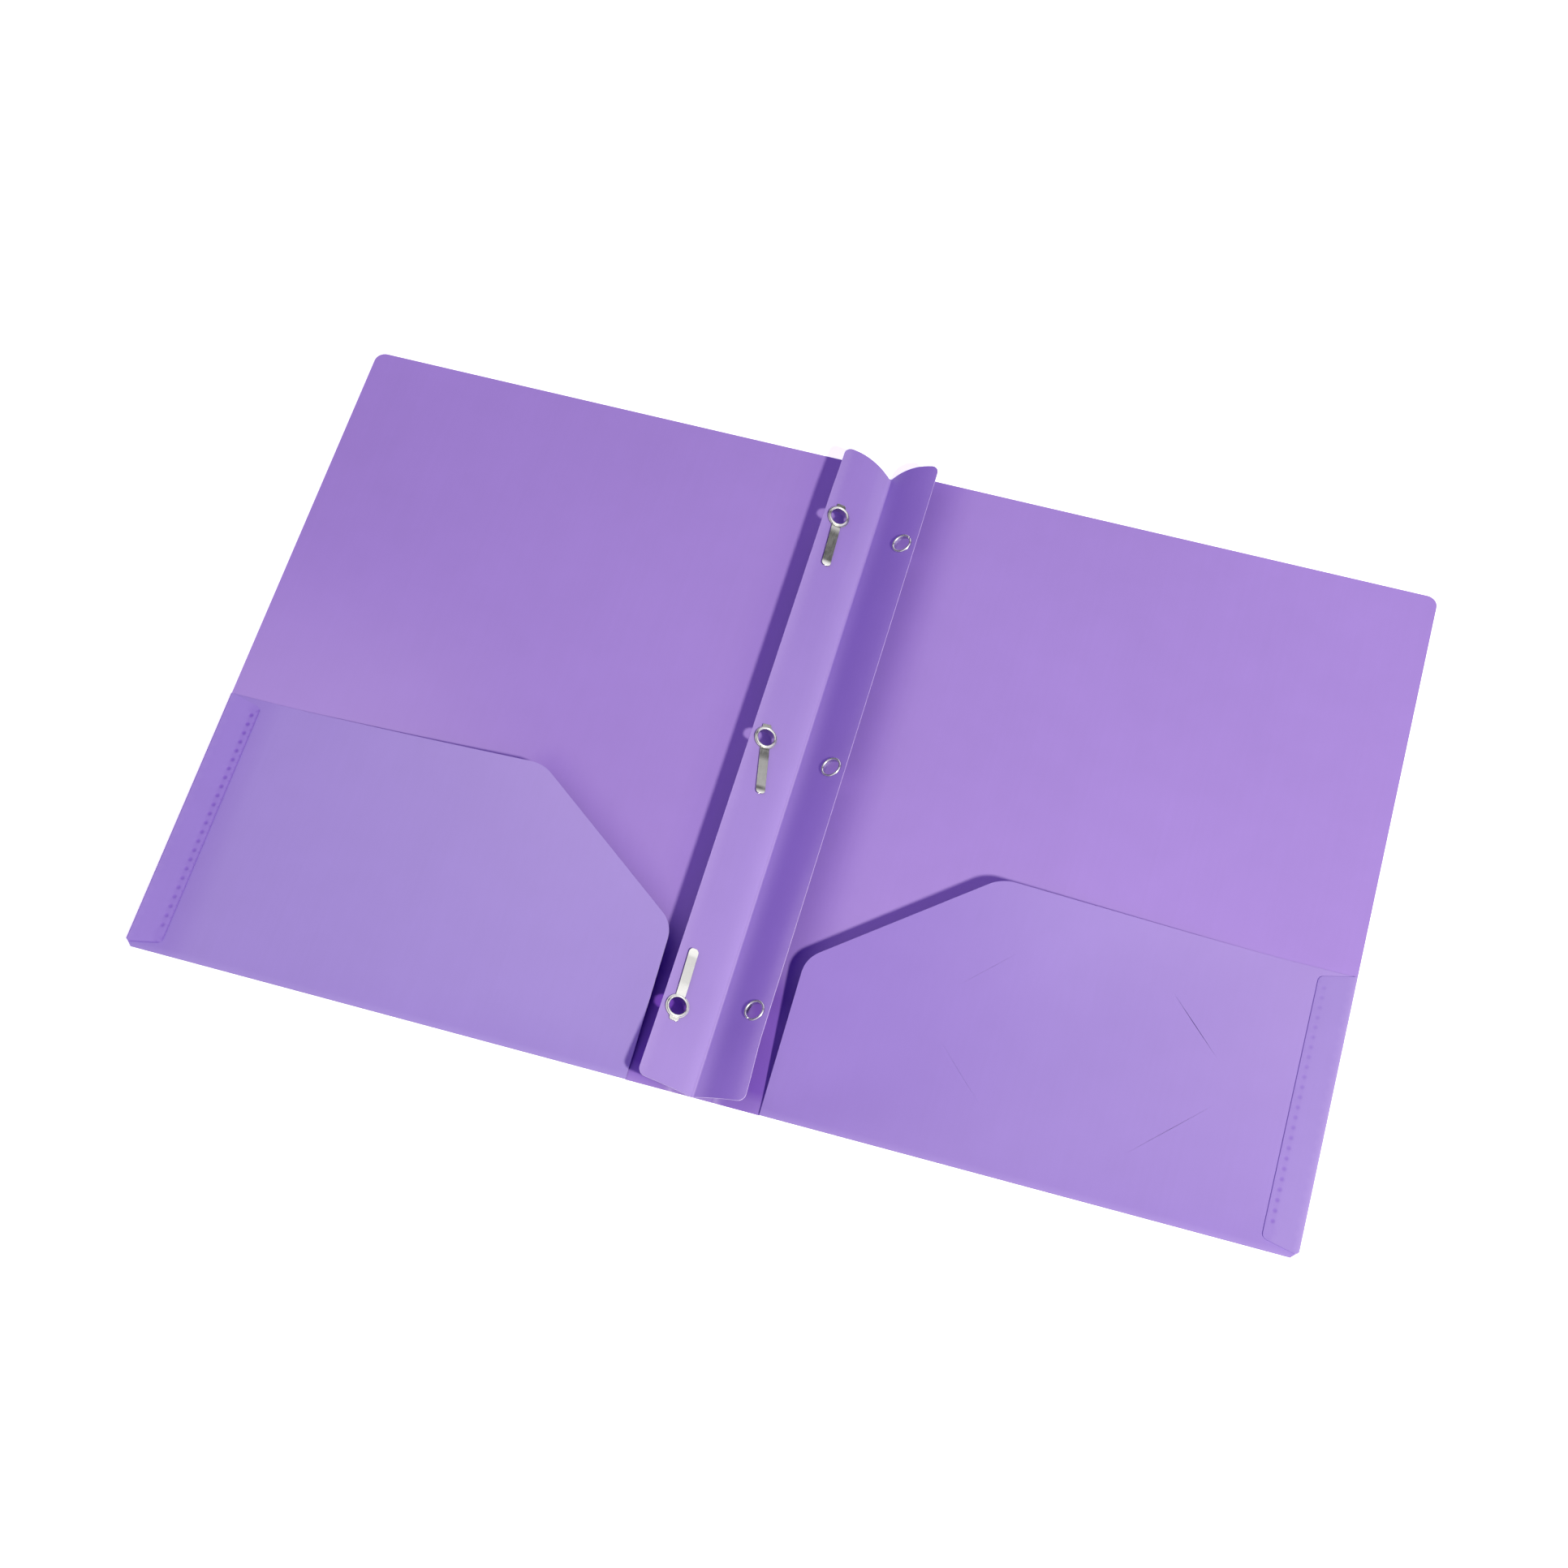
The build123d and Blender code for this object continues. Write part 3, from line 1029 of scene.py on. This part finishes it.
        skin = sheet_skin(Plan(rounded(corners), holes), place, self.sheet, press)
        piece = skin.on(side).piece(f"{side.label}_pocket_sheet", self.pocket_finishes[side])
        mirror = (side.value, 1, 1)
        reach = self.flex_half_width * np.append(across, 0)
        start, end = (hinge - reach) * mirror, (hinge + reach) * mirror
        nodes = [f"{side.label}_pocket_panel", f"{side.label}_pocket_mouth"]
        settle(piece, nodes, f"{side.label}_cover", (f"{side.label}_pocket_mouth", start, end))

    def tab(self, side: Side) -> None:
        """Side tab, folded in over the pocket, with a row of weld dots.

        u is the distance out from the fold line and v is Y. Beyond the fold line u turns round a roll down to
        the cover. Each dot sinks the sheet by a smooth step of the distance from its middle.

        Args:
            side: The half that it lies on.
        """
        real = np.array([-self.outer, 0, math.pi * self.side_roll])
        drawn = np.array([-self.outer, 0, self.fold_stretch])
        width = self.tab_width - self.side_roll
        foot = self.bottom + self.tab_foot
        cut = self.bottom + self.corner_cut - self.side_roll
        met = (cut - foot) / (1 + self.tab_taper / width)
        corners = [
            (-width, foot + self.tab_taper, self.tab_corner_radius),
            (-met, cut - met, 0),
            (0, cut, 0),
            (self.fold_stretch / 2, cut + self.side_roll, 0),
            (self.fold_stretch, cut, 0),
            (self.fold_stretch, self.fold_top, 0),
            (0, self.fold_top, 0),
            (-width, self.tab_top, self.tab_corner_radius),
        ]
        first = self.tab_top - self.dot_pitch
        count = int((first - foot - self.tab_taper) / self.dot_pitch)
        dot_heights = first - self.dot_pitch * np.arange(count)
        dots = np.column_stack([np.full(count, self.dot_inset - width), dot_heights])
        radii = self.dot_diameter / 2 * np.array(self.dot_rings)
        rings = (radii[:, None, None] * circle(1.0, self.dot_ring_points)).reshape(-1, 2)
        # Rows of points along the free edge and along the foot, so that the painted shadow lines there are
        # sharp
        lines = (self.weld_line, 2 * self.weld_line)
        heights = np.linspace(foot + 2 * self.tab_taper, self.tab_top - self.tab_taper, self.edge_points)
        rows = [np.column_stack([np.full_like(heights, line - width), heights]) for line in lines]
        inward = np.linspace(met + self.foot_margins[0], width - self.foot_margins[1], self.foot_points)
        foot_line = foot + self.tab_taper * inward / width
        rows += [np.column_stack([-inward, foot_line + line]) for line in lines]
        extra = np.concatenate([(dots[:, None] + rings).reshape(-1, 2), *rows])
        dot_depth, edge_shadow_line = self.dot_depths[side], self.edge_marks[side]
        low_mark, high_mark = self.low_dot_marks[side], self.high_dot_marks[side]

        def sunk(u: Array, v: Array) -> Array:
            """How deep the weld dots are here."""
            away = nearest(np.stack([u, v], axis=1), dots)
            return dot_depth * smooth(self.dot_edge - away / (self.dot_diameter / 2))

        def place(u: Array, v: Array) -> Array:
            """The folded tab's outer face.

            Args:
                u: Distance out from the fold line, drawn out beyond it.
                v: Y.

            Returns:
                The points.
            """
            outward = np.interp(u, drawn, real)
            turn = np.clip(outward / self.side_roll, 0, math.pi)
            x = self.side_fold + np.minimum(outward, 0) + self.side_roll * np.sin(turn)
            z = self.side_roll * (1 + np.cos(turn)) - sunk(u, v)
            return np.stack([x, v, z], axis=1)

        def press(u: Array, v: Array) -> Array:
            """Pale along the side fold and deeper in the weld dots; painted shadow along the free edge and
            foot.

            Args:
                u: Distance out from the fold line, drawn out beyond it.
                v: Y.

            Returns:
                The tone tag of each point.
            """
            folded = self.side_fold_pale * smooth(1 + np.interp(u, drawn, real) / self.side_roll)
            from_edge = u + width
            from_foot = v - foot + self.tab_taper * np.minimum(u, 0) / width
            # Painted shadow lines along the free edge and foot, and a painted shade band along the free edge;
            # dots and weld line are real
            line = smooth(1 - np.minimum(from_edge, from_foot) / self.weld_line)
            band = self.band_share * smooth(1 - from_edge / self.dot_inset)
            streak = self.streak_share * hump(from_edge - self.dot_inset, self.streak_width)
            mark = low_mark + (high_mark - low_mark) * (v - foot) / (self.tab_top - foot)
            return folded - edge_shadow_line * line - mark * (band + streak + sunk(u, v) / dot_depth)

        plan = Plan(rounded(corners), spacing=3.0, extra=extra)
        skin = sheet_skin(plan, place, self.sheet, press).on(side)
        piece = skin.piece(f"{side.label}_tab_sheet", self.tab_finishes[side])
        settle(piece, [f"{side.label}_side_tab"], f"{side.label}_cover")


@dataclass
class Strip:
    """The fastener strip: two curved wings, six eyelets and three prongs."""

    model: Model
    finishes: dict[Side, bpy.types.Material]
    steel: bpy.types.Material
    eyelet_steels: dict[Side, bpy.types.Material]
    rows: tuple[str, ...] = ("top", "middle", "bottom")
    flanges: dict[Side, str] = per_side("prong_flange", "eyelet_flange")
    eyelets: dict[Side, str] = per_side("prong_eyelet", "receiving_eyelet")
    # Wings; a turn is added at the hinge line, and taken off towards the free edge
    sheet: float = 0.45
    length: float = 23.1
    slopes: dict[Side, float] = per_side(38.9, 42.8)
    droop: float = 21.45
    top_turn: tuple[float, float] = (10.0, 22.0)
    bottom_turns: dict[Side, tuple[float, float]] = per_side((-8.0, -15.0), (-4.5, 0.0))
    end_reach: float = 28.0
    curve_points: int = 1200
    corner_radius: float = 3.0
    valley_stretch: float = 12.0
    valley_reach: float = 3.0
    top_notch: float = 4.3
    notch_share: float = 0.7
    notch_points: int = 10
    hole_from_hinge: float = 16.8
    hole_radius: float = 3.7
    # Tones of the wings: the pales are painted light, partly real whitening in the valley, and the top shades
    # painted shade
    valley_pales: dict[Side, float] = per_side(0.35, 0.8)
    valley_width: float = 5.0
    low_valley_pales: dict[Side, float] = per_side(0.0, 0.6)
    low_valley_width: float = 6.5
    low_valley_start: float = 80.0
    low_valley_run: float = 80.0
    edge_pales: dict[Side, float] = per_side(0.4, 0.2)
    edge_width: float = 2.5
    low_edge_pales: dict[Side, float] = per_side(0.0, 0.45)
    low_edge_width: float = 4.0
    low_edge_start: float = -20.0
    low_edge_run: float = 60.0
    top_shades: dict[Side, float] = per_side(0.15, 0.0)
    # Eyelets; a split is at an angle round the bore
    bore_radius: float = 3.4
    barrel_radius: float = 3.6
    rim_radius: float = 4.45
    crown: float = 0.6
    tails: dict[Side, float] = per_side(1.4, 0.6)
    curl_points: int = 15
    turn_points: int = 96
    split_top: float = -50.0
    split_bottom: float = 160.0
    split_spread: float = 0.004
    split_depth: float = 0.85
    # Prongs
    ring_radius: float = 4.8
    ring_points: int = 24
    plate: float = 0.5
    prong_length: float = 18.2
    prong_width: float = 4.0
    neck_rise: float = 0.25
    neck_length: float = 5.0
    tip_radius: float = 1.6
    tip_step: float = 0.35
    tip_length: float = 3.4
    heel_width: float = 4.1
    heel_end_width: float = 3.6
    heel_length: float = 5.9
    heel_radius: float = 0.7
    edge_round: float = 0.08
    edge_segments: int = 2
    edge_angle: float = 60.0
    root_half_length: float = 0.7

    def build(self) -> None:
        """Makes the wings, then the eyelets on each, then the prongs."""
        for side in Side:
            self.wing(side)
            for row in self.rows:
                self.eyelet(f"{self.eyelets[side]}_{row}", side)
        for row in self.rows:
            self.prong(row)

    def wing(self, side: Side) -> None:
        """Curved wing of the strip, from the weld line on the spine to its free edge.

        u is the distance from the hinge line along the curve, drawn out near the valley, and v is Y. The
        slope grows by a smooth step across the hinge line to the wing's own, then falls evenly towards the
        free edge; X and Z are its added-up cosine and sine. By a smooth step of Y the wing goes over to a
        steeper, rounder profile at its top end and to a flatter one at its bottom end. The top edge is cut
        back by a parabola that is deepest in the valley.

        Args:
            side: The half that it leans to.
        """
        flange = self.flanges[side]
        hinge, _ = self.model.joint(f"{flange}_fold")
        reach = abs(hinge[0])
        along = np.linspace(-reach, self.length, self.curve_points)
        start_slope = math.radians(self.slopes[side])
        step = smooth((along + reach) / (2 * reach))
        share = np.maximum(along, 0) / self.length
        slope = start_slope * step - math.radians(self.droop) * share
        turns = np.radians([(0.0, 0.0), self.top_turn, self.bottom_turns[side]])
        paths = [Bend.from_slope(along, slope + root * step - end * share) for root, end in turns]
        bend, top_end, bottom_end = paths
        valley_end = self.valley_reach * reach
        real = np.array([-reach, valley_end, self.length])
        valley = (valley_end + reach) * self.valley_stretch
        drawn = np.array([-reach, valley - reach, self.length + valley - reach - valley_end])
        low, high = self.model.box(flange)
        cut = self.length * np.linspace(self.notch_share, 0, self.notch_points)
        cut_depth = self.top_notch * np.square(1 - cut / self.length)
        corners = [
            (drawn[0], low[1], 0),
            (drawn[2], low[1], self.corner_radius),
            (drawn[2], high[1], self.corner_radius),
            *zip(np.interp(cut, real, drawn), high[1] - cut_depth, np.zeros_like(cut)),
            (drawn[0], high[1] - self.top_notch, 0),
        ]
        middle = np.interp(self.hole_from_hinge, real, drawn)
        heights = [self.model.mount(f"{self.eyelets[side]}_{row}_bore")[0][1] for row in self.rows]
        holes = [circle(self.hole_radius) + (middle, height) for height in heights]

        def place(u: Array, v: Array) -> Array:
            """The curved wing's upper face, which goes over to another profile at each end.

            Args:
                u: Distance from the hinge line along the curve, drawn out near the valley.
                v: Y.

            Returns:
                The points.
            """
            here = np.interp(u, drawn, real)
            upper = smooth(1 - (high[1] - v) / self.end_reach)
            lower = smooth(1 - (v - low[1]) / self.end_reach)
            plain = np.stack(bend.at(here))
            run, rise = plain + upper * (top_end.at(here) - plain) + lower * (bottom_end.at(here) - plain)
            return np.stack([run, v, hinge[2] + rise], axis=1)

        def press(u: Array, v: Array) -> Array:
            """Painted light along the valley and free edge, wider towards the bottom; painted shade towards
            the top.

            Args:
                u: Distance from the hinge line along the curve, drawn out near the valley.
                v: Y.

            Returns:
                The tone tag of each point.
            """
            here = np.interp(u, drawn, real)
            from_edge = self.length - here
            low_valley = smooth((self.low_valley_start - v) / self.low_valley_run)
            low_edge = smooth((self.low_edge_start - v) / self.low_edge_run)
            # Painted light, partly real whitening in the valley; the top shade below is painted shade
            pale = self.valley_pales[side] * hump(here, self.valley_width)
            pale += self.edge_pales[side] * hump(from_edge, self.edge_width)
            pale += self.low_valley_pales[side] * low_valley * hump(here, self.low_valley_width)
            pale += self.low_edge_pales[side] * low_edge * hump(from_edge, self.low_edge_width)
            return pale - self.top_shades[side] * smooth(v / high[1])

        plan = Plan(rounded(corners), holes, spacing=2.6)
        skin = sheet_skin(plan, place, self.sheet, press).on(side)
        piece = skin.piece(f"{flange}_wing", self.finishes[side])
        start = np.array([0, 0, hinge[2]])
        end = start + (side.value * valley_end, 0, reach)
        nodes = [flange, "strip_seam"] if side is Side.FRONT else [flange]
        settle(piece, nodes, "spine", (flange, start, end))

    def eyelet(self, name: str, side: Side) -> None:
        """Hollow eyelet with a curled rim on both sides.

        The profile goes up the bore, over a half ellipse to the rim, back to the barrel, down it, round the
        other rim and down to the open tail, and is turned about the bore's axis. A split narrows the curl
        within a small angle.

        Args:
            name: The eyelet's node.
            side: The wing that carries it.
        """
        middle, axis, length = self.model.mount(f"{name}_bore")
        across = np.array([0.0, 1.0, 0.0])
        sideways = np.cross(axis, across)
        half = (self.rim_radius - self.bore_radius) / 2
        centre = self.bore_radius + half
        curl = np.linspace(0, math.pi, self.curl_points)
        seat = length / 2
        upper = np.stack([centre - half * np.cos(curl), seat + self.crown * np.sin(curl)], axis=1)
        barrel = np.array([[self.barrel_radius, seat], [self.barrel_radius, -seat]])
        under = upper[: self.curl_points // 2 : -1] * (1, -1)
        tail = -seat - self.tails[side]
        lip = np.array([[self.barrel_radius, tail], [self.bore_radius, tail]])
        profile = np.concatenate([upper, barrel, under, lip])
        angle = np.linspace(0, 2 * math.pi, self.turn_points, endpoint=False)
        spun = np.cos(angle)[:, None] * across + np.sin(angle)[:, None] * sideways
        splits = {"receiving_eyelet_top": self.split_top, "receiving_eyelet_bottom": self.split_bottom}
        from_split = (angle - math.radians(splits.get(name, 0.0)) + math.pi) % (2 * math.pi) - math.pi
        gap = np.exp(-np.square(from_split) / self.split_spread) * (name in splits)
        top = profile[:, 1] >= seat
        share = 1 - top * self.split_depth * gap[:, None]
        out = self.bore_radius + (profile[:, 0] - self.bore_radius) * share
        up = np.where(top, seat + (profile[:, 1] - seat) * share, profile[:, 1])
        points = middle + out[..., None] * spun[:, None] + up[..., None] * axis
        piece = ring_skin(points).piece(f"{name}_rolled", self.eyelet_steels[side])
        settle(piece, [name], self.flanges[side])

    def prong(self, row: str) -> None:
        """Stamped prong in one piece: ring, stop tab, tongue and lifted tip.

        u runs from the ring's middle along the tongue and v across it. The outline is the ring's circle with
        the tongue and the stop tab standing out of it. The tongue rises along its neck by a parabola that
        levels off, and at its tip by one that steepens.

        Args:
            row: Which of the three it is.
        """
        hub, normal = self.model.joint(f"prong_swivel_{row}")
        root, lateral = self.model.joint(f"prong_bend_{row}")
        forward = np.cross(lateral, normal)
        reach, top = (root - hub) @ forward, (root - hub) @ normal
        tip = reach + self.prong_length
        half = self.prong_width / 2
        first = math.asin(half / self.ring_radius)
        last = math.pi - math.asin(self.heel_width / 2 / self.ring_radius)
        arc = np.linspace(first, last, self.ring_points)
        ring = self.ring_radius * np.stack([np.cos(arc), np.sin(arc), 0 * arc], axis=1)
        heel = (-self.heel_length, self.heel_end_width / 2, self.heel_radius)
        upper = [(tip, half, self.tip_radius), *ring.tolist(), heel]
        lower = [(u, -v, corner) for u, v, corner in upper[::-1]]

        def place(u: Array, v: Array) -> Array:
            """The prong's upper face.

            Args:
                u: Distance from the ring's middle along the tongue.
                v: Distance across it.

            Returns:
                The points.
            """
            neck = np.clip((u - self.ring_radius) / self.neck_length, 0, 1)
            end = np.clip((u - tip + self.tip_length) / self.tip_length, 0, 1)
            lift = self.neck_rise * neck * (2 - neck) + self.tip_step * end**2
            return hub + u[:, None] * forward + v[:, None] * lateral + (top + lift)[:, None] * normal

        plan = Plan(rounded(upper + lower), [circle(self.hole_radius)], spacing=0.6)
        piece = sheet_skin(plan, place, self.plate, untagged).piece(f"prong_{row}_stamped", self.steel)
        edge = piece.modifiers.new("edge", "BEVEL")
        edge.width = self.edge_round * MM
        edge.segments = self.edge_segments
        edge.limit_method = "ANGLE"
        edge.angle_limit = math.radians(self.edge_angle)
        start, end = root - self.root_half_length * forward, root + self.root_half_length * forward
        nodes = [f"prong_base_{row}", f"prong_tang_{row}"]
        settle(piece, nodes, f"prong_base_{row}", (f"prong_tang_{row}", start, end))


@dataclass
class Studio:
    """White table, one crisp lamp from the right front, soft light all round and the camera, in metres."""

    camera_place: tuple[float, float, float] = (0.15277, -0.47566, 0.98389)
    azimuth: float = 18.500128
    elevation: float = 63.413537
    roll: float = -2.599973
    lens: float = 62.96
    sensor: float = 36.0
    key_from: tuple[float, float, float] = (0.79, -0.55, 1.0)
    key_distance: float = 1.8
    key_diameter: float = 0.16
    key_strength: float = 2.85
    key_tint: Colour = (1.08, 1.17, 0.75)
    soft_from: tuple[float, float, float] = (-0.6, 0.1, 0.8)
    soft_spread: float = 5.0
    soft_tint: Colour = (1.0, 0.93, 0.93)
    fill_tint: Colour = (0.08, 0.0, 0.27)
    sky_tint: Colour = (1.0, 1.0, 1.0)
    sky_strength: float = 1.15
    dark_strength: float = 0.07
    dark_band: tuple[float, float] = (0.33, 0.7)
    dark_steepness: float = 7.0
    left_start: float = 0.35
    left_share: float = 0.75
    floor_size: float = 30.0
    floor_drop: float = 0.00005
    floor_tone: float = 0.8
    floor_light_tone: float = 0.816
    floor_cloud_size: float = 400.0
    floor_glow: float = 0.75

    def build(self) -> None:
        """Sets up the whole studio."""
        bpy.context.scene.view_settings.view_transform = "Standard"
        self.camera()
        self.key()
        self.world()
        self.floor()

    def camera(self) -> None:
        """Camera at the photograph's place, turned by azimuth, elevation and roll."""
        turn, lift, tilt = (math.radians(a) for a in (self.azimuth, self.elevation, self.roll))
        level = Vector((math.cos(turn), math.sin(turn), 0))
        back = Vector((math.sin(turn) * math.cos(lift), -math.cos(turn) * math.cos(lift), math.sin(lift)))
        right = math.cos(tilt) * level + math.sin(tilt) * back.cross(level)
        axes = Matrix((right, back.cross(right), back)).transposed()
        lens = bpy.data.cameras.new("photo_camera")
        lens.lens = self.lens
        lens.sensor_width = self.sensor
        made = put_in_scene("photo_camera", lens)
        made.matrix_world = Matrix.Translation(self.camera_place) @ axes.to_4x4()
        bpy.context.scene.camera = made

    def key(self) -> None:
        """The crisp lamp: a small disk whose power gives the wanted strength at the folder's middle."""
        lamp = bpy.data.lights.new("key_lamp", "AREA")
        lamp.shape = "DISK"
        lamp.size = self.key_diameter
        lamp.energy = self.key_strength * math.pi * self.key_distance**2
        lamp.color = self.key_tint
        direction = Vector(self.key_from).normalized()
        made = put_in_scene("key_lamp", lamp)
        made.location = direction * self.key_distance
        made.rotation_euler = direction.to_track_quat("Z", "Y").to_euler()

    def world(self) -> None:
        """Soft light from the upper left over a faint violet; gloss mirrors a bright room with a dark band.

        The soft light is the cosine of the angle from its middle, raised to its spread.
        """
        world = bpy.data.worlds.new("studio_world")
        world.use_nodes = True
        bpy.context.scene.world = world
        graph = Graph(world.node_tree)
        direction = graph.coordinates("Generated")
        x, y, z = (graph.node("SeparateXYZ", None, {0: direction}, axis) for axis in "XYZ")
        gloss = graph.ray("Glossy")
        seen = (graph.ray("Camera") + graph.ray("Transmission")).clamped()
        aim = Vector(self.soft_from).normalized()
        near = (x * aim.x + y * aim.y + z * aim.z).clamped()
        lobe = near.maths("POWER", near, self.soft_spread)
        soft = graph.node("VectorMath", {"operation": "SCALE"}, {0: self.soft_tint, "Scale": lobe})
        fill = graph.node("VectorMath", {"operation": "ADD"}, {0: soft, 1: self.fill_tint})
        rising = ((y - self.dark_band[0]) * self.dark_steepness).clamped()
        falling = ((self.dark_band[1] - y) * self.dark_steepness).clamped()
        left = ((0.0 - x - self.left_start) * self.dark_steepness).clamped()
        sky = self.sky_strength - (self.sky_strength - self.dark_strength) * rising * falling
        sky = sky * (1 - self.left_share * left)
        strength = seen + (1 - seen) * (1 - gloss * (1 - sky))
        tint = graph.mixed((seen + gloss).clamped(), fill, self.sky_tint)
        shine = graph.node("Background", None, {"Color": tint, "Strength": strength})
        graph.node("OutputWorld", None, {"Surface": shine})

    def floor(self) -> None:
        """White table top, which glows a little for the eye so that it reads as white and takes shadows."""
        half = self.floor_size / 2
        corners = [(-half, -half), (half, -half), (half, half), (-half, half)]
        mesh = bpy.data.meshes.new("table_top")
        mesh.from_pydata([(x, y, -self.floor_drop) for x, y in corners], [], [[0, 1, 2, 3]])
        material, graph = empty_material("white_table")
        cloud = graph.noise(graph.coordinates("Object"), self.floor_cloud_size)
        tone = graph.mixed(cloud, (self.floor_tone,) * 3, (self.floor_light_tone,) * 3)
        matte = graph.node("BsdfDiffuse", None, {"Color": tone})
        seen = (graph.ray("Camera") + graph.ray("Glossy") + graph.ray("Transmission")).clamped()
        glow = graph.node("Emission", None, {"Strength": seen * self.floor_glow})
        both = graph.node("AddShader", None, {0: matte, 1: glow})
        graph.node("OutputMaterial", None, {"Surface": both})
        mesh.materials.append(material)
        made = put_in_scene("table_top", mesh)


def sheet_pair(names: tuple[str, str], tones: tuple[Colour, Colour], **shares: float) -> dict[Side, Any]:
    """Builds the sheet's finish for the two pieces of a pair.

    Args:
        names: What the front and the back piece's finishes are called.
        tones: Their tones.
        shares: Shares of the finish that differ from its usual ones.

    Returns:
        The material of each half.
    """
    finishes = [SheetFinish(f"matte_purple_{name}", tone, **shares) for name, tone in zip(names, tones)]
    return {side: finish.material() for side, finish in zip(Side, finishes)}


def main() -> None:
    """Builds the folder and its studio, in order."""
    logging.basicConfig(level=logging.INFO, format="%(message)s")
    model = Model(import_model())
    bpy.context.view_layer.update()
    cover = SheetFinish("matte_purple_cover", from_screen(165, 135, 217)).material()
    # Front and back tones of each pair differ to paint in how each half is lit; the eyelet wing's darker tone
    # is painted shade
    pocket_tones = (from_screen(164, 142, 218), from_screen(155, 130, 209))
    pockets = sheet_pair(("front_pocket", "back_pocket"), pocket_tones)
    tab_tones = (from_screen(161, 135, 220), from_screen(157, 134, 210))
    tabs = sheet_pair(("front_tab", "back_tab"), tab_tones)
    wing_tones = (from_screen(158, 132, 211), from_screen(143, 113, 205))
    wings = sheet_pair(("prong_wing", "eyelet_wing"), wing_tones, rim_share=WING_RIM_SHARE)
    nickel = SteelFinish("nickel_steel", from_screen(240, 239, 237), from_screen(220, 218, 216)).material()
    # A darker, purple-tinted copy of the nickel for the receiving eyelets: painted reflection of the purple
    # sheet and darker room
    painted_reflection_nickel = SteelFinish(
        "dull_nickel_steel", from_screen(214, 208, 222), from_screen(188, 182, 204), roughness=0.26
    ).material()
    Body(model, cover, pockets, tabs).build()
    Strip(model, wings, nickel, {Side.FRONT: nickel, Side.BACK: painted_reflection_nickel}).build()
    Studio().build()


if __name__ == "__main__":
    main()
